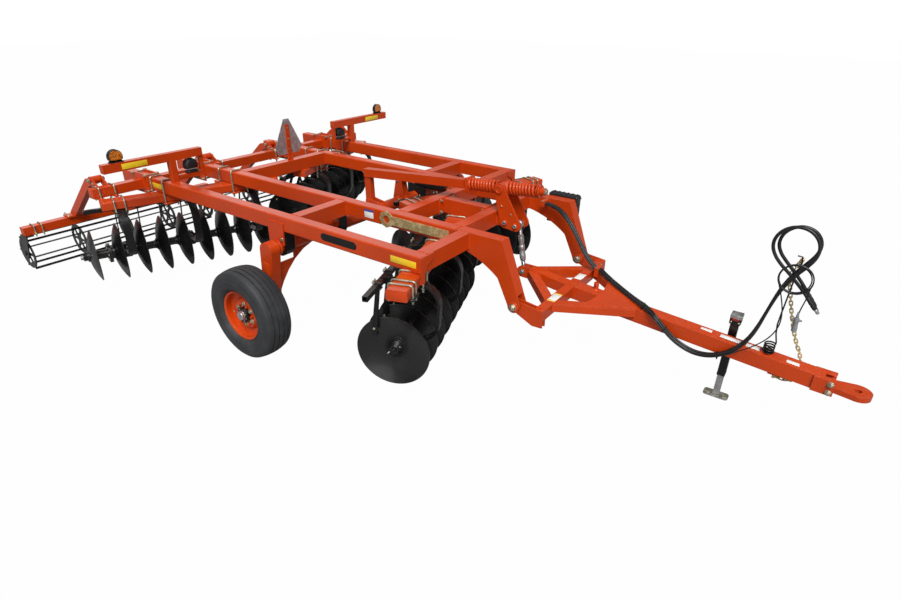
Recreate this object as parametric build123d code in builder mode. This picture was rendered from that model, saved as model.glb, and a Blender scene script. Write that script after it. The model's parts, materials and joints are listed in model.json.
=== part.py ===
"""Towed tandem disc harrow with transport wheels, finishing reels and a levelling tongue.

Millimetres. +X points forwards to the hitch, +Y to the machine's left and +Z up.
Places in this file are measured from the wheel axle's line on the ground; save() then
moves every piece so that the origin is the middle of the machine's outline on the ground.
"""
from build123d import *
from math import atan2, cos, pi, radians, sin, sqrt, tan
import os

os.makedirs("parts", exist_ok=True)

RIGHT = -1
LEFT = 1
FIT = 0.3                      # running clearance of pins, bearings and slides

# ---- main frame -------------------------------------------------------------------------
FRAME_TOP = 1140.0
TUBE_W = 102.0
TUBE_H = 127.0
FRAME_BOTTOM = FRAME_TOP - TUBE_H
OUTER_Y = 1195.0               # centre of an outer rail
INNER_Y = 585.0                # centre of an inner rail
REAR_X = -2330.0               # rear end of the inner rails
OUTER_REAR_X = -2300.0
RIGHT_FRONT_X = 1520.0         # front end of the right outer rail
SET_BACK = 560.0               # how far the left front gang sits behind the right one
LEFT_FRONT_X = 840.0
LEG_X = 1390.0                 # where the inner rails meet the drop legs
SECOND_TUBE_X = 790.0
MID_TUBE_X = 180.0
REAR_TUBE_X = -1300.0
LEVEL_TUBE_X = 1360.0
PLATE = 12.0                   # thickness of flanges, ears and lugs
WALL = 8.0                     # wall of the frame tubes and gang beams
THIN_WALL = 5.0                # wall of the lighter tubes

# ---- drop legs and tongue ----------------------------------------------------------------
LEG_TOP_X = 1800.0
HINGE_X = 1930.0               # tongue hinge pins
HINGE_Z = 640.0
HINGE_PIN_R = 16.0
LEG_BOSS_R = 55.0
LEG_SLOT_TOP = 735.0
EAR_GAP = 44.0                 # between a pair of tongue ears
TONGUE_DROP = 4.6              # degrees the tongue points down
TONGUE_W = 120.0
TONGUE_H = 108.0
CROSS_X = 2125.0
CROSS_W = 76.0
CROSS_H = 86.0
DIAGONAL_H = 60.0
DIAGONAL_RISE = (TONGUE_H - DIAGONAL_H) / 2 - 2   # sets its top 2 mm under the main tube's
APEX_X = 2660.0
CLEVIS_X = 1675.0              # pin that the turnbuckle holds
CLEVIS_Z = 650.0
CLEVIS_GAP = 50.0
TUBE_FRONT_X = 3960.0
HITCH_PLATE_X = 3900.0         # rear ends of the hitch's side plates
HITCH_X = 4160.0               # centre of the hitch eye
HITCH_Z = 440.0
HITCH_EYE_R = 22.0
HITCH_RING_R = 82.0
HITCH_THICK = 38.0
HITCH_TIP_X = HITCH_X + HITCH_RING_R

# ---- disc gangs ----------------------------------------------------------------------------
DISC_R = 279.4
DISC_SPHERE_R = 560.0
DISC_T = 6.0
DISC_DISH = DISC_SPHERE_R - sqrt(DISC_SPHERE_R ** 2 - DISC_R ** 2)
END_DISC_R = 254.0
GANG_Z = 416.0
DISC_PITCH = 203.2
SPOOL_R = 44.0
WAIST_R = 40.0
FLANGE_R = 64.0
NUT_R = 34.0
FRONT_ANGLE = 20.0
REAR_ANGLE = 19.0
BEAM_W = 152.0
BEAM_H = 80.0
BEAM_TOP = FRAME_BOTTOM
BEAM_BOTTOM = BEAM_TOP - BEAM_H
STRAP_T = 18.0
STRAP_W = 70.0
STRAP_REACH = 205.0            # how far a hanger loops ahead of its beam's middle
STRAP_LOW = 500.0
HOUSING_R = 74.0
HOUSING_W = 56.0
SCRAPER_BAR = 38.0
FRONT_SCRAPER = (-85.0, 950.0)  # how far the bar lies ahead of the axle, and its height
REAR_SCRAPER = (-15.0, 850.0)
END_SPOOL = 216.0              # from the first rear disc to the small end disc

# name, side, x and y of the outer disc's rim, front or rear, beam ahead of the axle,
# discs, beam starts, beam ends, gaps with a hanger
GANGS = (
    ("front_right", RIGHT, 1372.0, 1382.0, "front", 112.0, 8, -190.0, 1500.0, (0, 3, 6)),
    ("front_left", LEFT, 1372.0 - SET_BACK, 1382.0, "front", 112.0, 8, -190.0, 1500.0, (0, 3, 6)),
    ("rear_right", RIGHT, -2050.0, 1550.0, "rear", 275.0, 8, -100.0, 1560.0, (0, 3, 6)),
    ("rear_left", LEFT, -2050.0, 1550.0, "rear", 275.0, 8, -100.0, 1560.0, (0, 3, 6)),
)

# ---- wheels and lift -----------------------------------------------------------------------
TYRE_R = 387.5
TYRE_W = 260.0
RIM_R = 203.0
RIM_FLANGE_R = 214.0
WHEEL_Y = 1575.0
SHAFT_X = 50.0                 # lift shaft
SHAFT_Z = 870.0
SHAFT_R = 57.0
BEARING_R = 84.0
ARM_Y = 1340.0
ARM_W = 90.0
SPINDLE_R = 24.0
HUB_R = 62.0
STUD_CIRCLE_R = 90.0
STUDS = 6
STUD_R = 9.0
CYLINDER_Y = 330.0
LIFT_LEVER = 230.0
CYLINDER_ANCHOR_X = 670.0
CYLINDER_Z = SHAFT_Z + LIFT_LEVER
BARREL_R = 45.0
ROD_R = 19.0
BARREL_LENGTH = 400.0

# ---- levelling gear ------------------------------------------------------------------------
LEVER_X = -65.0                # pin on the lift shaft's centre lever
LEVER_Z = 935.0
TRUNNION_X = 1430.0
TRUNNION_Z = 1330.0
ROCKER_X = 1500.0              # rocker's pivot on the frame
ROCKER_Z = 1060.0
LINK_X = 1600.0                # turnbuckle's pin in the rocker
LINK_Z = 1050.0
ROCKER_GAP = 124.0
ROCKER_T = 15.0
SPRING_R = 55.0
SPRING_WIRE = 15.0
SPRING_TURNS = 9
SPRING_LENGTH = 290.0
LEVEL_TUBE = 76.0

# ---- finishing reels -----------------------------------------------------------------------
TOOLBAR_X = -1950.0
TOOLBAR_W = 90.0
TOOLBAR_H = 90.0
TOOLBAR_TOP = 1105.0
TOOLBAR_END_Y = 1735.0
FLANGE_L = 270.0
FLANGE_H = 190.0
REEL_ARM_Y = (430.0, 1610.0)
REEL_PIVOT_X = -2075.0
REEL_PIVOT_Z = 1150.0
REEL_X = -2850.0
REEL_Z = 370.0
REEL_R = 180.0
REEL_INNER_Y = 80.0
REEL_OUTER_Y = 2105.0
REEL_BARS = 6
REEL_BAR = 22.0
REEL_BEAM_X = -2760.0
REEL_BEAM_Z = 620.0
REEL_BEAM = 80.0
REEL_END_T = 10.0

# ---- hoses, cable and safety chain -----------------------------------------------------------
HOSE_D = 22.0
CABLE_D = 8.0
HOSE_CLAMP_X = 1600.0          # front face of the clamp on the left drop leg
HOSE_CLAMP_Y = 500.0
HOSE_CLAMP_Z = 1108.0
TIE_X = 2225.0                 # front face of the clamp on the tongue
TIE_Y = 345.0
TIE_Z = 690.0
HOSE_OFFSETS = (-35.0, -5.0, -59.0)    # right hose, left hose and cable in both clamps
HOLDER_X = 3600.0
HOLDER_FOOT_Z = 552.0
HOLDER_R = 32.0                # coil at the holder's foot
CHAIN_LUG_X = 3676.0
CHAIN_LUG_Z = 400.0
COIL_X = 3630.0
COIL_Y = -84.0
COIL_Z = 1143.0
COIL_R = 97.0
COIL_T = 13.0                  # radius of the bundle of turns
CHAIN_Y = 82.0
CHAIN_PITCH = 28.0
CHAIN_LINK = (44.0, 26.0, 7.0)     # length, width, wire

# ---- jack ----------------------------------------------------------------------------------
JACK_X = 3345.0
JACK_Y = 128.0
JACK_TOP = 640.0
JACK_TUBE = 56.0                # side of the square body
JACK_LEG = 45.0
JACK_FOOT = (180.0, 90.0)
JACK_TUBE_LOW = 190.0
JACK_PIVOT_Z = 430.0
JACK_SEAT_R = 40.0
JACK_SEAT_Y = 86.0             # where the jack's seat meets the tongue's

# ---- lights, sign and small things on the frame --------------------------------------------
LIGHT_X = -1450.0
LIGHT_POST_Y = 1183.0
LIGHT_INNER_Y = 874.0
LIGHT_OUTER_Y = 1807.0
LIGHT_ARM_Z = 1380.0
LIGHT_ARM_W = 60.0
LIGHT_ARM_H = 76.0
LAMP_SHELF_Z = 1200.0
WARNING_LAMP_Y = 1673.0
WARNING_LAMP_R = 58.0
WARNING_LAMP_T = 46.0
TAIL_LAMP_Y = 996.0
TAIL_LAMP_R = 66.0
TAIL_LAMP_T = 60.0
SIGN_Y = 78.0
SIGN_TOP = 1571.0
SIGN_W = 370.0
SIGN_H = 366.0
SIGN_T = 3.0
WRENCH_REAR_X = 640.0
WRENCH_FRONT_X = 1330.0
WRENCH_Z = 1076.0
MANUAL_X = 1540.0
MANUAL_TOP = 1165.0

MIDDLE_X = (HITCH_TIP_X + REEL_X - REEL_R) / 2


def save(part, label):
    """Move a piece from axle places to the origin, label it and write its STEP file."""
    piece = part.moved(Location((-MIDDLE_X, 0, 0)))
    piece.label = label
    export_step(piece, f"parts/{label}.step")
    return piece


def unit(vector):
    return vector / vector.length


def bar(start, end, width, height, side=None, wall=None):
    """Add a straight rectangular bar, or a tube with that wall; width lies along side, or level."""
    start = Vector(*start)
    run = Vector(*end) - start
    level = Vector(*side) if side else Vector(0, 0, 1).cross(run)
    with BuildSketch(Plane(origin=start, x_dir=level, z_dir=run)) as section:
        Rectangle(width, height)
        if wall:
            Rectangle(width - 2 * wall, height - 2 * wall, mode=Mode.SUBTRACT)
    extrude(section.sketch, amount=run.length)


def rod(start, end, radius, mode=Mode.ADD):
    """Add or cut a straight round bar."""
    start = Vector(*start)
    run = Vector(*end) - start
    with BuildSketch(Plane(origin=start, z_dir=run)) as section:
        Circle(radius)
    extrude(section.sketch, amount=run.length, mode=mode)


def box(x_low, x_high, y_low, y_high, z_low, z_high, mode=Mode.ADD):
    """Add or cut a box between two corners."""
    with BuildSketch(Plane.XY.offset(z_low)) as section:
        with Locations(((x_low + x_high) / 2, (y_low + y_high) / 2)):
            Rectangle(abs(x_high - x_low), abs(y_high - y_low))
    extrude(section.sketch, amount=z_high - z_low, mode=mode)


def side_plate(sketch, y_low, thickness, mode=Mode.ADD):
    """Extrude a sketch drawn in x and z on Plane.XZ, from y_low towards +Y."""
    extrude(sketch.moved(Location((0, y_low, 0))), amount=-thickness, mode=mode)


def along(name_row, s, ahead, z):
    """A point s along a gang from its outer rim, ahead of its axle, at height z."""
    name, side, x, y, place, *rest = name_row
    angle = radians(FRONT_ANGLE if place == "front" else REAR_ANGLE)
    lead = -1 if place == "front" else 1
    inward = (lead * sin(angle), -side * cos(angle))
    forward = (cos(angle), side * lead * sin(angle))
    return (x + s * inward[0] + ahead * forward[0],
            side * y + s * inward[1] + ahead * forward[1], z)


def gang_plane(name_row, s):
    """Plane across a gang: its x points ahead, its y up, and its normal along the gang."""
    here = Vector(*along(name_row, s, 0, 0))
    inward = Vector(*along(name_row, s + 1, 0, 0)) - here
    ahead = Vector(*along(name_row, s, 1, 0)) - here
    if ahead.cross(Vector(0, 0, 1)).dot(inward) < 0:
        return Plane(origin=here, x_dir=ahead, z_dir=-inward)
    return Plane(origin=here, x_dir=ahead, z_dir=inward)


# ==== main frame ============================================================================
# name, side, centre y, rear x, front x
RAILS = (
    ("rail_right_outer", RIGHT, OUTER_Y, OUTER_REAR_X, RIGHT_FRONT_X),
    ("rail_right_inner", RIGHT, INNER_Y, REAR_X, LEG_X),
    ("rail_left_inner", LEFT, INNER_Y, REAR_X, LEG_X),
    ("rail_left_outer", LEFT, OUTER_Y, OUTER_REAR_X, LEFT_FRONT_X),
)
for label, side, centre, rear, front in RAILS:
    with BuildPart() as rail:
        box(rear, front, side * centre - TUBE_W / 2, side * centre + TUBE_W / 2,
            FRAME_BOTTOM, FRAME_TOP)
        chamfer(rail.edges().filter_by(Axis.X), 8)
        box(rear, front, side * centre - TUBE_W / 2 + WALL, side * centre + TUBE_W / 2 - WALL,
            FRAME_BOTTOM + WALL, FRAME_TOP - WALL, Mode.SUBTRACT)
    save(rail.part, label)

INNER_FACE = INNER_Y - TUBE_W / 2
INNER_BACK = INNER_Y + TUBE_W / 2
OUTER_FACE = OUTER_Y - TUBE_W / 2
OUTER_BACK = OUTER_Y + TUBE_W / 2
# centre x, length along x, y from, y to
CROSS_TUBES = (
    (RIGHT_FRONT_X - TUBE_W / 2, TUBE_W, -OUTER_FACE, -INNER_BACK),
    (SECOND_TUBE_X, TUBE_W, INNER_BACK, OUTER_FACE),
    (SECOND_TUBE_X, TUBE_W, -INNER_FACE, INNER_FACE),
    (MID_TUBE_X, TUBE_W, -OUTER_FACE, -INNER_BACK),
    (MID_TUBE_X, TUBE_W, INNER_BACK, OUTER_FACE),
    (REAR_TUBE_X, TUBE_W, -INNER_FACE, INNER_FACE),
)
with BuildPart() as cross_tubes:
    for x, length, y_from, y_to in CROSS_TUBES:
        box(x - length / 2, x + length / 2, y_from, y_to, FRAME_BOTTOM, FRAME_TOP)
        box(x - length / 2 + WALL, x + length / 2 - WALL, y_from, y_to, FRAME_BOTTOM + WALL,
            FRAME_TOP - WALL, Mode.SUBTRACT)
    # lugs that hold the lift cylinder on the second tube
    second_face = SECOND_TUBE_X - TUBE_W / 2
    for y in (CYLINDER_Y - 40, CYLINDER_Y + 40 - PLATE):
        with BuildSketch(Plane.XZ) as lug:
            with Locations((CYLINDER_ANCHOR_X, CYLINDER_Z)):
                Circle(34)
            with Locations(((CYLINDER_ANCHOR_X + second_face) / 2, CYLINDER_Z)):
                Rectangle(second_face - CYLINDER_ANCHOR_X, 68)
            with Locations((CYLINDER_ANCHOR_X, CYLINDER_Z)):
                Circle(16 + FIT, mode=Mode.SUBTRACT)
        side_plate(lug.sketch, y, PLATE)
save(cross_tubes.part, "cross_tubes")

with BuildPart() as centre_tube:
    box(SECOND_TUBE_X + TUBE_W / 2, LEVEL_TUBE_X - TUBE_W / 2,
        -TUBE_W / 2, TUBE_W / 2, FRAME_BOTTOM, FRAME_TOP)
save(centre_tube.part, "centre_tube")

LUG_Y = ROCKER_GAP / 2 - PLATE - FIT
with BuildPart() as level_tube:
    box(LEVEL_TUBE_X - TUBE_W / 2, LEVEL_TUBE_X + TUBE_W / 2, -INNER_FACE, INNER_FACE,
        FRAME_BOTTOM, FRAME_TOP)
    for y in (-LUG_Y - PLATE, LUG_Y):
        with BuildSketch(Plane.XZ) as lug:
            with Locations((ROCKER_X, ROCKER_Z)):
                Circle(38)
            with Locations(((ROCKER_X + LEVEL_TUBE_X + TUBE_W / 2) / 2, ROCKER_Z)):
                Rectangle(ROCKER_X - LEVEL_TUBE_X - TUBE_W / 2, 76)
            with Locations((ROCKER_X, ROCKER_Z)):
                Circle(16 + FIT, mode=Mode.SUBTRACT)
        side_plate(lug.sketch, y, PLATE)
save(level_tube.part, "level_tube")

for label, side in (("drop_leg_right", RIGHT), ("drop_leg_left", LEFT)):
    with BuildPart() as drop_leg:
        with BuildSketch(Plane.XZ) as outline:
            with BuildLine():
                top = Line((LEG_X, FRAME_TOP), (LEG_TOP_X, FRAME_TOP))
                front = Line(top @ 1, (HINGE_X + LEG_BOSS_R, HINGE_Z + 25))
                boss = RadiusArc(front @ 1, (HINGE_X - LEG_BOSS_R, HINGE_Z + 10), LEG_BOSS_R + 1)
                rear = Line(boss @ 1, (HINGE_X - 150, HINGE_Z + 200))
                sweep_up = ThreePointArc(rear @ 1, (LEG_X + 235, FRAME_BOTTOM - 75),
                                         (LEG_X, FRAME_BOTTOM))
                Line(sweep_up @ 1, top @ 0)
            make_face()
        side_plate(outline.sketch, side * INNER_Y - TUBE_W / 2, TUBE_W)
        box(HINGE_X - 140, HINGE_X + 140, side * INNER_Y - TUBE_W / 2 + PLATE,
            side * INNER_Y + TUBE_W / 2 - PLATE, HINGE_Z - 120, LEG_SLOT_TOP, Mode.SUBTRACT)
        rod((HINGE_X, side * INNER_Y - TUBE_W, HINGE_Z), (HINGE_X, side * INNER_Y + TUBE_W, HINGE_Z),
            HINGE_PIN_R + FIT, Mode.SUBTRACT)
        if side == LEFT:
            box(HOSE_CLAMP_X - 40, HOSE_CLAMP_X, HOSE_CLAMP_Y - 66, INNER_FACE,
                HOSE_CLAMP_Z - 24, HOSE_CLAMP_Z + 24)
    save(drop_leg.part, label)

# ==== gang beams, hangers and scrapers ======================================================
for row in GANGS:
    label, side, x, y, place, ahead, count, starts, ends, gaps = row
    with BuildPart() as gang_beam:
        bar(along(row, starts, ahead, BEAM_TOP - BEAM_H / 2),
            along(row, ends, ahead, BEAM_TOP - BEAM_H / 2), BEAM_W, BEAM_H)
        chamfer(gang_beam.edges().group_by(Edge.length)[-1], 8)
        with BuildSketch(gang_plane(row, starts)) as bore:
            with Locations((ahead, BEAM_TOP - BEAM_H / 2)):
                Rectangle(BEAM_W - 2 * WALL, BEAM_H - 2 * WALL)
        extrude(bore.sketch, amount=2 * (ends - starts), both=True, mode=Mode.SUBTRACT)
    save(gang_beam.part, f"{label}_beam")


def hub_offset(place):
    """How far a disc's hub lies inwards of its rim: front discs are hollow outwards."""
    return DISC_DISH if place == "front" else -DISC_DISH


def bearing_s(place, gap):
    """Place along the gang of the bearing in the gap after a disc."""
    bias = 155.0 if place == "front" else DISC_PITCH - 155.0
    return gap * DISC_PITCH + bias


for row in GANGS:
    label, side, x, y, place, ahead, count, starts, ends, gaps = row
    with BuildPart() as hangers:
        for gap in gaps:
            plane = gang_plane(row, bearing_s(place, gap))
            with BuildSketch(plane) as strap:
                with BuildLine():
                    spine = FilletPolyline(
                        (ahead - BEAM_W / 2, BEAM_BOTTOM - STRAP_T / 2),
                        (ahead + STRAP_REACH, BEAM_BOTTOM - STRAP_T / 2),
                        (ahead + STRAP_REACH - 20, STRAP_LOW),
                        (40, GANG_Z + 25), radius=(170, 150))
                trace(line_width=STRAP_T)
            extrude(strap.sketch, amount=STRAP_W / 2, both=True)
            with BuildSketch(plane) as housing:
                with Locations((0, GANG_Z)):
                    Circle(HOUSING_R)
            extrude(housing.sketch, amount=HOUSING_W / 2, both=True)
            with BuildSketch(plane) as seat:
                with Locations((0, GANG_Z)):
                    Circle(SPOOL_R + FIT)
            extrude(seat.sketch, amount=HOUSING_W, both=True, mode=Mode.SUBTRACT)
    save(hangers.part, f"{label}_hangers")

with BuildPart() as scrapers:
    for row in GANGS:
        label, side, x, y, place, ahead, count, starts, ends, gaps = row
        toward = -1 if place == "front" else 1      # the hollow side of the discs
        outer = -250.0 if place == "front" else -END_SPOOL - 25
        bar_ahead, bar_z = FRONT_SCRAPER if place == "front" else REAR_SCRAPER
        bar(along(row, outer, bar_ahead, bar_z),
            along(row, (count - 1) * DISC_PITCH + 60, bar_ahead, bar_z), SCRAPER_BAR, SCRAPER_BAR,
            wall=THIN_WALL)
        for index in range(count):
            s = index * DISC_PITCH + toward * 22
            leg = gang_plane(row, s)
            with BuildSketch(leg) as blade_leg:
                with BuildLine():
                    Polyline((bar_ahead - 16, bar_z - 15), (bar_ahead + 16, bar_z - 15),
                             (-110, 545), (-150, 545), close=True)
                make_face()
            extrude(blade_leg.sketch, amount=4, both=True)
            foot_to = s - toward * 42
            bar(along(row, s + toward * 4, -130, 549), along(row, foot_to, -130, 549), 40, 8)
        for index in (0, 3, 6):
            s = index * DISC_PITCH + (50 if place == "front" else DISC_PITCH - 50)
            with BuildSketch(gang_plane(row, s)) as bracket:
                with BuildLine():
                    Polyline((ahead - BEAM_W / 2, BEAM_TOP - 12), (ahead - BEAM_W / 2, BEAM_BOTTOM),
                             (ahead - BEAM_W / 2 + 60, BEAM_BOTTOM),
                             (bar_ahead + SCRAPER_BAR / 2, bar_z - SCRAPER_BAR / 2),
                             (bar_ahead - SCRAPER_BAR / 2, bar_z - SCRAPER_BAR / 2),
                             (bar_ahead - SCRAPER_BAR / 2, bar_z + SCRAPER_BAR / 2), close=True)
                make_face()
            extrude(bracket.sketch, amount=PLATE / 2, both=True)
save(scrapers.part, "scrapers")


# ==== disc gangs ============================================================================
def disc_profile(hub, radius, hollow):
    """Half section of a dished disc: hub place, rim radius, hollow side (-1 outwards, 1 inwards)."""
    inner = DISC_SPHERE_R
    outer = DISC_SPHERE_R + DISC_T
    centre = hub + hollow * inner
    rim = centre - hollow * sqrt(inner ** 2 - radius ** 2)
    rim_back = centre - hollow * sqrt(outer ** 2 - radius ** 2)
    middle = radius / 2
    with BuildLine() as outline:
        hollow_face = ThreePointArc(
            (0, hub), (middle, centre - hollow * sqrt(inner ** 2 - middle ** 2)), (radius, rim))
        edge = Line(hollow_face @ 1, (radius, rim_back))
        back = ThreePointArc(
            edge @ 1, (middle, centre - hollow * sqrt(outer ** 2 - middle ** 2)),
            (0, hub - hollow * DISC_T))
        Line(back @ 1, hollow_face @ 0)
    make_face(outline.edges())


def spool_profile(start, end, straight):
    """Half section of the spool between two discs, straight where a bearing runs."""
    low, high = sorted((start, end))
    waist = SPOOL_R if straight else WAIST_R
    flare = 18.0
    with BuildLine() as outline:
        Polyline((0, low), (FLANGE_R if not straight else 62.0, low),
                 (FLANGE_R if not straight else 62.0, low + 7), (waist + 6, low + flare),
                 (waist, low + 2 * flare if not straight else low + flare + 4),
                 (waist, high - 2 * flare if not straight else high - flare - 4),
                 (waist + 6, high - flare),
                 (FLANGE_R if not straight else 62.0, high - 7),
                 (FLANGE_R if not straight else 62.0, high), (0, high), close=True)
    make_face(outline.edges())


for row in GANGS:
    label, side, x, y, place, ahead, count, starts, ends, gaps = row
    hollow = -1 if place == "front" else 1
    hub = hub_offset(place)
    here = Vector(*along(row, 0, 0, GANG_Z))
    inward = Vector(*along(row, 1, 0, GANG_Z)) - here
    section = Plane(origin=here, x_dir=(0, 0, 1), z_dir=Vector(0, 0, 1).cross(inward))
    with BuildPart() as gang:
        with BuildSketch(section) as half:
            for index in range(count):
                disc_profile(index * DISC_PITCH + hub, DISC_R, hollow)
            for index in range(count - 1):
                start = index * DISC_PITCH + hub
                spool_profile(start, start + DISC_PITCH, index in gaps)
            last = (count - 1) * DISC_PITCH + hub
            with BuildLine():
                Polyline((0, last), (58, last), (58, last + 14), (NUT_R, last + 14),
                         (NUT_R, last + 50), (0, last + 50), close=True)
            make_face()
            if place == "front":
                with BuildLine():
                    Polyline((0, hub), (92, hub), (92, hub - 10), (62, hub - 10), (62, hub - 22),
                             (NUT_R, hub - 62), (20, hub - 62), (20, hub - 74), (0, hub - 74),
                             close=True)
                make_face()
            else:
                end_hub = hub - END_SPOOL
                disc_profile(end_hub, END_DISC_R, hollow)
                with BuildLine():
                    Polyline((0, end_hub), (66, end_hub), (66, end_hub + 12), (SPOOL_R, end_hub + 12),
                             (SPOOL_R, hub - 52), (96, hub - 52), (96, hub - 24), (64, hub - 24),
                             (64, hub), (0, hub), close=True)
                make_face()
                with BuildLine():
                    Polyline((0, end_hub), (52, end_hub), (52, end_hub - 18),
                             (NUT_R, end_hub - 18), (NUT_R, end_hub - 54), (0, end_hub - 54),
                             close=True)
                make_face()
        revolve(half.sketch, axis=Axis(here, inward))
    save(gang.part, f"{label}_gang")

# ==== lift shaft, wheels and cylinder =======================================================
with BuildPart() as lift_bearings:
    for y in (-OUTER_Y, -INNER_Y, INNER_Y, OUTER_Y):
        with BuildSketch(Plane.XZ) as block:
            with Locations((SHAFT_X, SHAFT_Z)):
                Circle(BEARING_R)
            with Locations((SHAFT_X, (SHAFT_Z + FRAME_BOTTOM) / 2)):
                Rectangle(2 * BEARING_R, FRAME_BOTTOM - SHAFT_Z)
            with Locations((SHAFT_X, SHAFT_Z)):
                Circle(SHAFT_R + FIT, mode=Mode.SUBTRACT)
        side_plate(block.sketch, y - 44, 88)
save(lift_bearings.part, "lift_bearings")

with BuildPart() as lift_shaft:
    rod((SHAFT_X, -ARM_Y - ARM_W / 2, SHAFT_Z), (SHAFT_X, ARM_Y + ARM_W / 2, SHAFT_Z), SHAFT_R)
    for side in (RIGHT, LEFT):
        with BuildSketch(Plane.XZ) as arm:
            with Locations((SHAFT_X, SHAFT_Z)):
                Circle(72)
            with Locations((0, TYRE_R)):
                Circle(55)
            make_hull()
        side_plate(arm.sketch, side * ARM_Y - ARM_W / 2, ARM_W)
        rod((0, side * (ARM_Y + ARM_W / 2), TYRE_R), (0, side * (WHEEL_Y + 55), TYRE_R), SPINDLE_R)
    for y in (CYLINDER_Y - 30 - PLATE - FIT, CYLINDER_Y + 30 + FIT):
        with BuildSketch(Plane.XZ) as lever:
            with Locations((SHAFT_X, SHAFT_Z)):
                Circle(76)
            with Locations((SHAFT_X, SHAFT_Z + LIFT_LEVER)):
                Circle(32)
            make_hull()
        side_plate(lever.sketch, y, PLATE)
    for y in (-30 - PLATE - FIT, 30 + FIT):
        with BuildSketch(Plane.XZ) as lever:
            with Locations((SHAFT_X, SHAFT_Z)):
                Circle(76)
            with Locations((LEVER_X, LEVER_Z)):
                Circle(32)
            make_hull()
        side_plate(lever.sketch, y, PLATE)
    rod((LEVER_X, -30 - 2 * PLATE, LEVER_Z), (LEVER_X, 30 + 2 * PLATE, LEVER_Z), 15)
save(lift_shaft.part, "lift_shaft")

TYRE_SECTION = 0.5 * TYRE_W
for name, side in (("right", RIGHT), ("left", LEFT)):
    wheel_plane = Plane(origin=(0, side * WHEEL_Y, TYRE_R), x_dir=(0, 0, 1), z_dir=(-1, 0, 0))
    with BuildPart() as tyre:
        with BuildSketch(wheel_plane) as half:
            with BuildLine():
                # radius, then place across the tyre
                crown = ThreePointArc((TYRE_R - 12, -95), (TYRE_R, 0), (TYRE_R - 12, 95))
                shoulder = ThreePointArc(crown @ 1, (TYRE_R - 42, 122), (TYRE_R - 85, TYRE_SECTION))
                flank = ThreePointArc(shoulder @ 1, (RIM_R + 55, 128), (RIM_FLANGE_R + 2, 92))
                bead = Line(flank @ 1, (RIM_R + 0.3, 84))
                seat = Line(bead @ 1, (RIM_R + 0.3, -84))
                bead_back = Line(seat @ 1, (RIM_FLANGE_R + 2, -92))
                flank_back = ThreePointArc(bead_back @ 1, (RIM_R + 55, -128),
                                           (TYRE_R - 85, -TYRE_SECTION))
                ThreePointArc(flank_back @ 1, (TYRE_R - 42, -122), crown @ 0)
            make_face()
            for place in (-66, -22, 22, 66):
                with Locations((TYRE_R, place)):
                    Rectangle(18, 9, mode=Mode.SUBTRACT)
        revolve(half.sketch, axis=Axis((0, side * WHEEL_Y, TYRE_R), (0, 1, 0)))
    save(tyre.part, f"tyre_{name}")
    with BuildPart() as rim:
        with BuildSketch(wheel_plane) as half:
            with BuildLine():
                # radius, then place outwards of the wheel's middle; +1 is outwards on the left
                out = side
                Polyline(
                    (RIM_R, -84 * out), (RIM_R, 84 * out), (RIM_FLANGE_R, 93 * out),
                    (RIM_FLANGE_R - 3, 99 * out), (RIM_R - 8, 90 * out), (RIM_R - 8, 40 * out),
                    (RIM_R - 40, 30 * out), (RIM_R - 60, 24 * out), (120, 52 * out),
                    (78, 50 * out), (HUB_R, 50 * out), (HUB_R, 78 * out), (40, 84 * out),
                    (36, 104 * out), (0, 106 * out), (0, 62 * out),
                    (SPINDLE_R + FIT, 62 * out), (SPINDLE_R + FIT, -96 * out),
                    (52, -96 * out), (52, 38 * out), (78, 38 * out), (120, 40 * out),
                    (RIM_R - 58, 12 * out), (RIM_R - 8, 20 * out), (RIM_R - 8, -90 * out),
                    (RIM_FLANGE_R - 3, -99 * out), (RIM_FLANGE_R, -93 * out), close=True)
            make_face()
        revolve(half.sketch, axis=Axis((0, side * WHEEL_Y, TYRE_R), (0, 1, 0)))
        stud_y = side * (WHEEL_Y + 42)
        with BuildSketch(Plane.XZ.offset(-stud_y)) as studs:
            with Locations((0, TYRE_R)):
                with PolarLocations(STUD_CIRCLE_R, STUDS):
                    Circle(STUD_R)
        extrude(studs.sketch, amount=-side * 30)
    save(rim.part, f"rim_{name}")

with BuildPart() as cylinder_barrel:
    rod((CYLINDER_ANCHOR_X - 45, CYLINDER_Y, CYLINDER_Z),
        (CYLINDER_ANCHOR_X - BARREL_LENGTH, CYLINDER_Y, CYLINDER_Z), BARREL_R)
    box(CYLINDER_ANCHOR_X - 50, CYLINDER_ANCHOR_X, CYLINDER_Y - 26, CYLINDER_Y + 26,
        CYLINDER_Z - 32, CYLINDER_Z + 32)
    rod((CYLINDER_ANCHOR_X, CYLINDER_Y - 26, CYLINDER_Z),
        (CYLINDER_ANCHOR_X, CYLINDER_Y + 26, CYLINDER_Z), 32)
    rod((CYLINDER_ANCHOR_X, CYLINDER_Y - 55, CYLINDER_Z),
        (CYLINDER_ANCHOR_X, CYLINDER_Y + 55, CYLINDER_Z), 16)
    rod((CYLINDER_ANCHOR_X - 60, CYLINDER_Y, CYLINDER_Z),
        (CYLINDER_ANCHOR_X - BARREL_LENGTH - 1, CYLINDER_Y, CYLINDER_Z), ROD_R + FIT, Mode.SUBTRACT)
save(cylinder_barrel.part, "cylinder_barrel")
with BuildPart() as cylinder_rod:
    rod((SHAFT_X, CYLINDER_Y, CYLINDER_Z),
        (CYLINDER_ANCHOR_X - 245, CYLINDER_Y, CYLINDER_Z), ROD_R)
    rod((SHAFT_X, CYLINDER_Y - 30, CYLINDER_Z), (SHAFT_X, CYLINDER_Y + 30, CYLINDER_Z), 30)
save(cylinder_rod.part, "cylinder_rod")

# ==== levelling gear ========================================================================
SLOPE = atan2(TRUNNION_Z - (LEVER_Z + 275), TRUNNION_X - (LEVER_X - 45))


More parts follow.
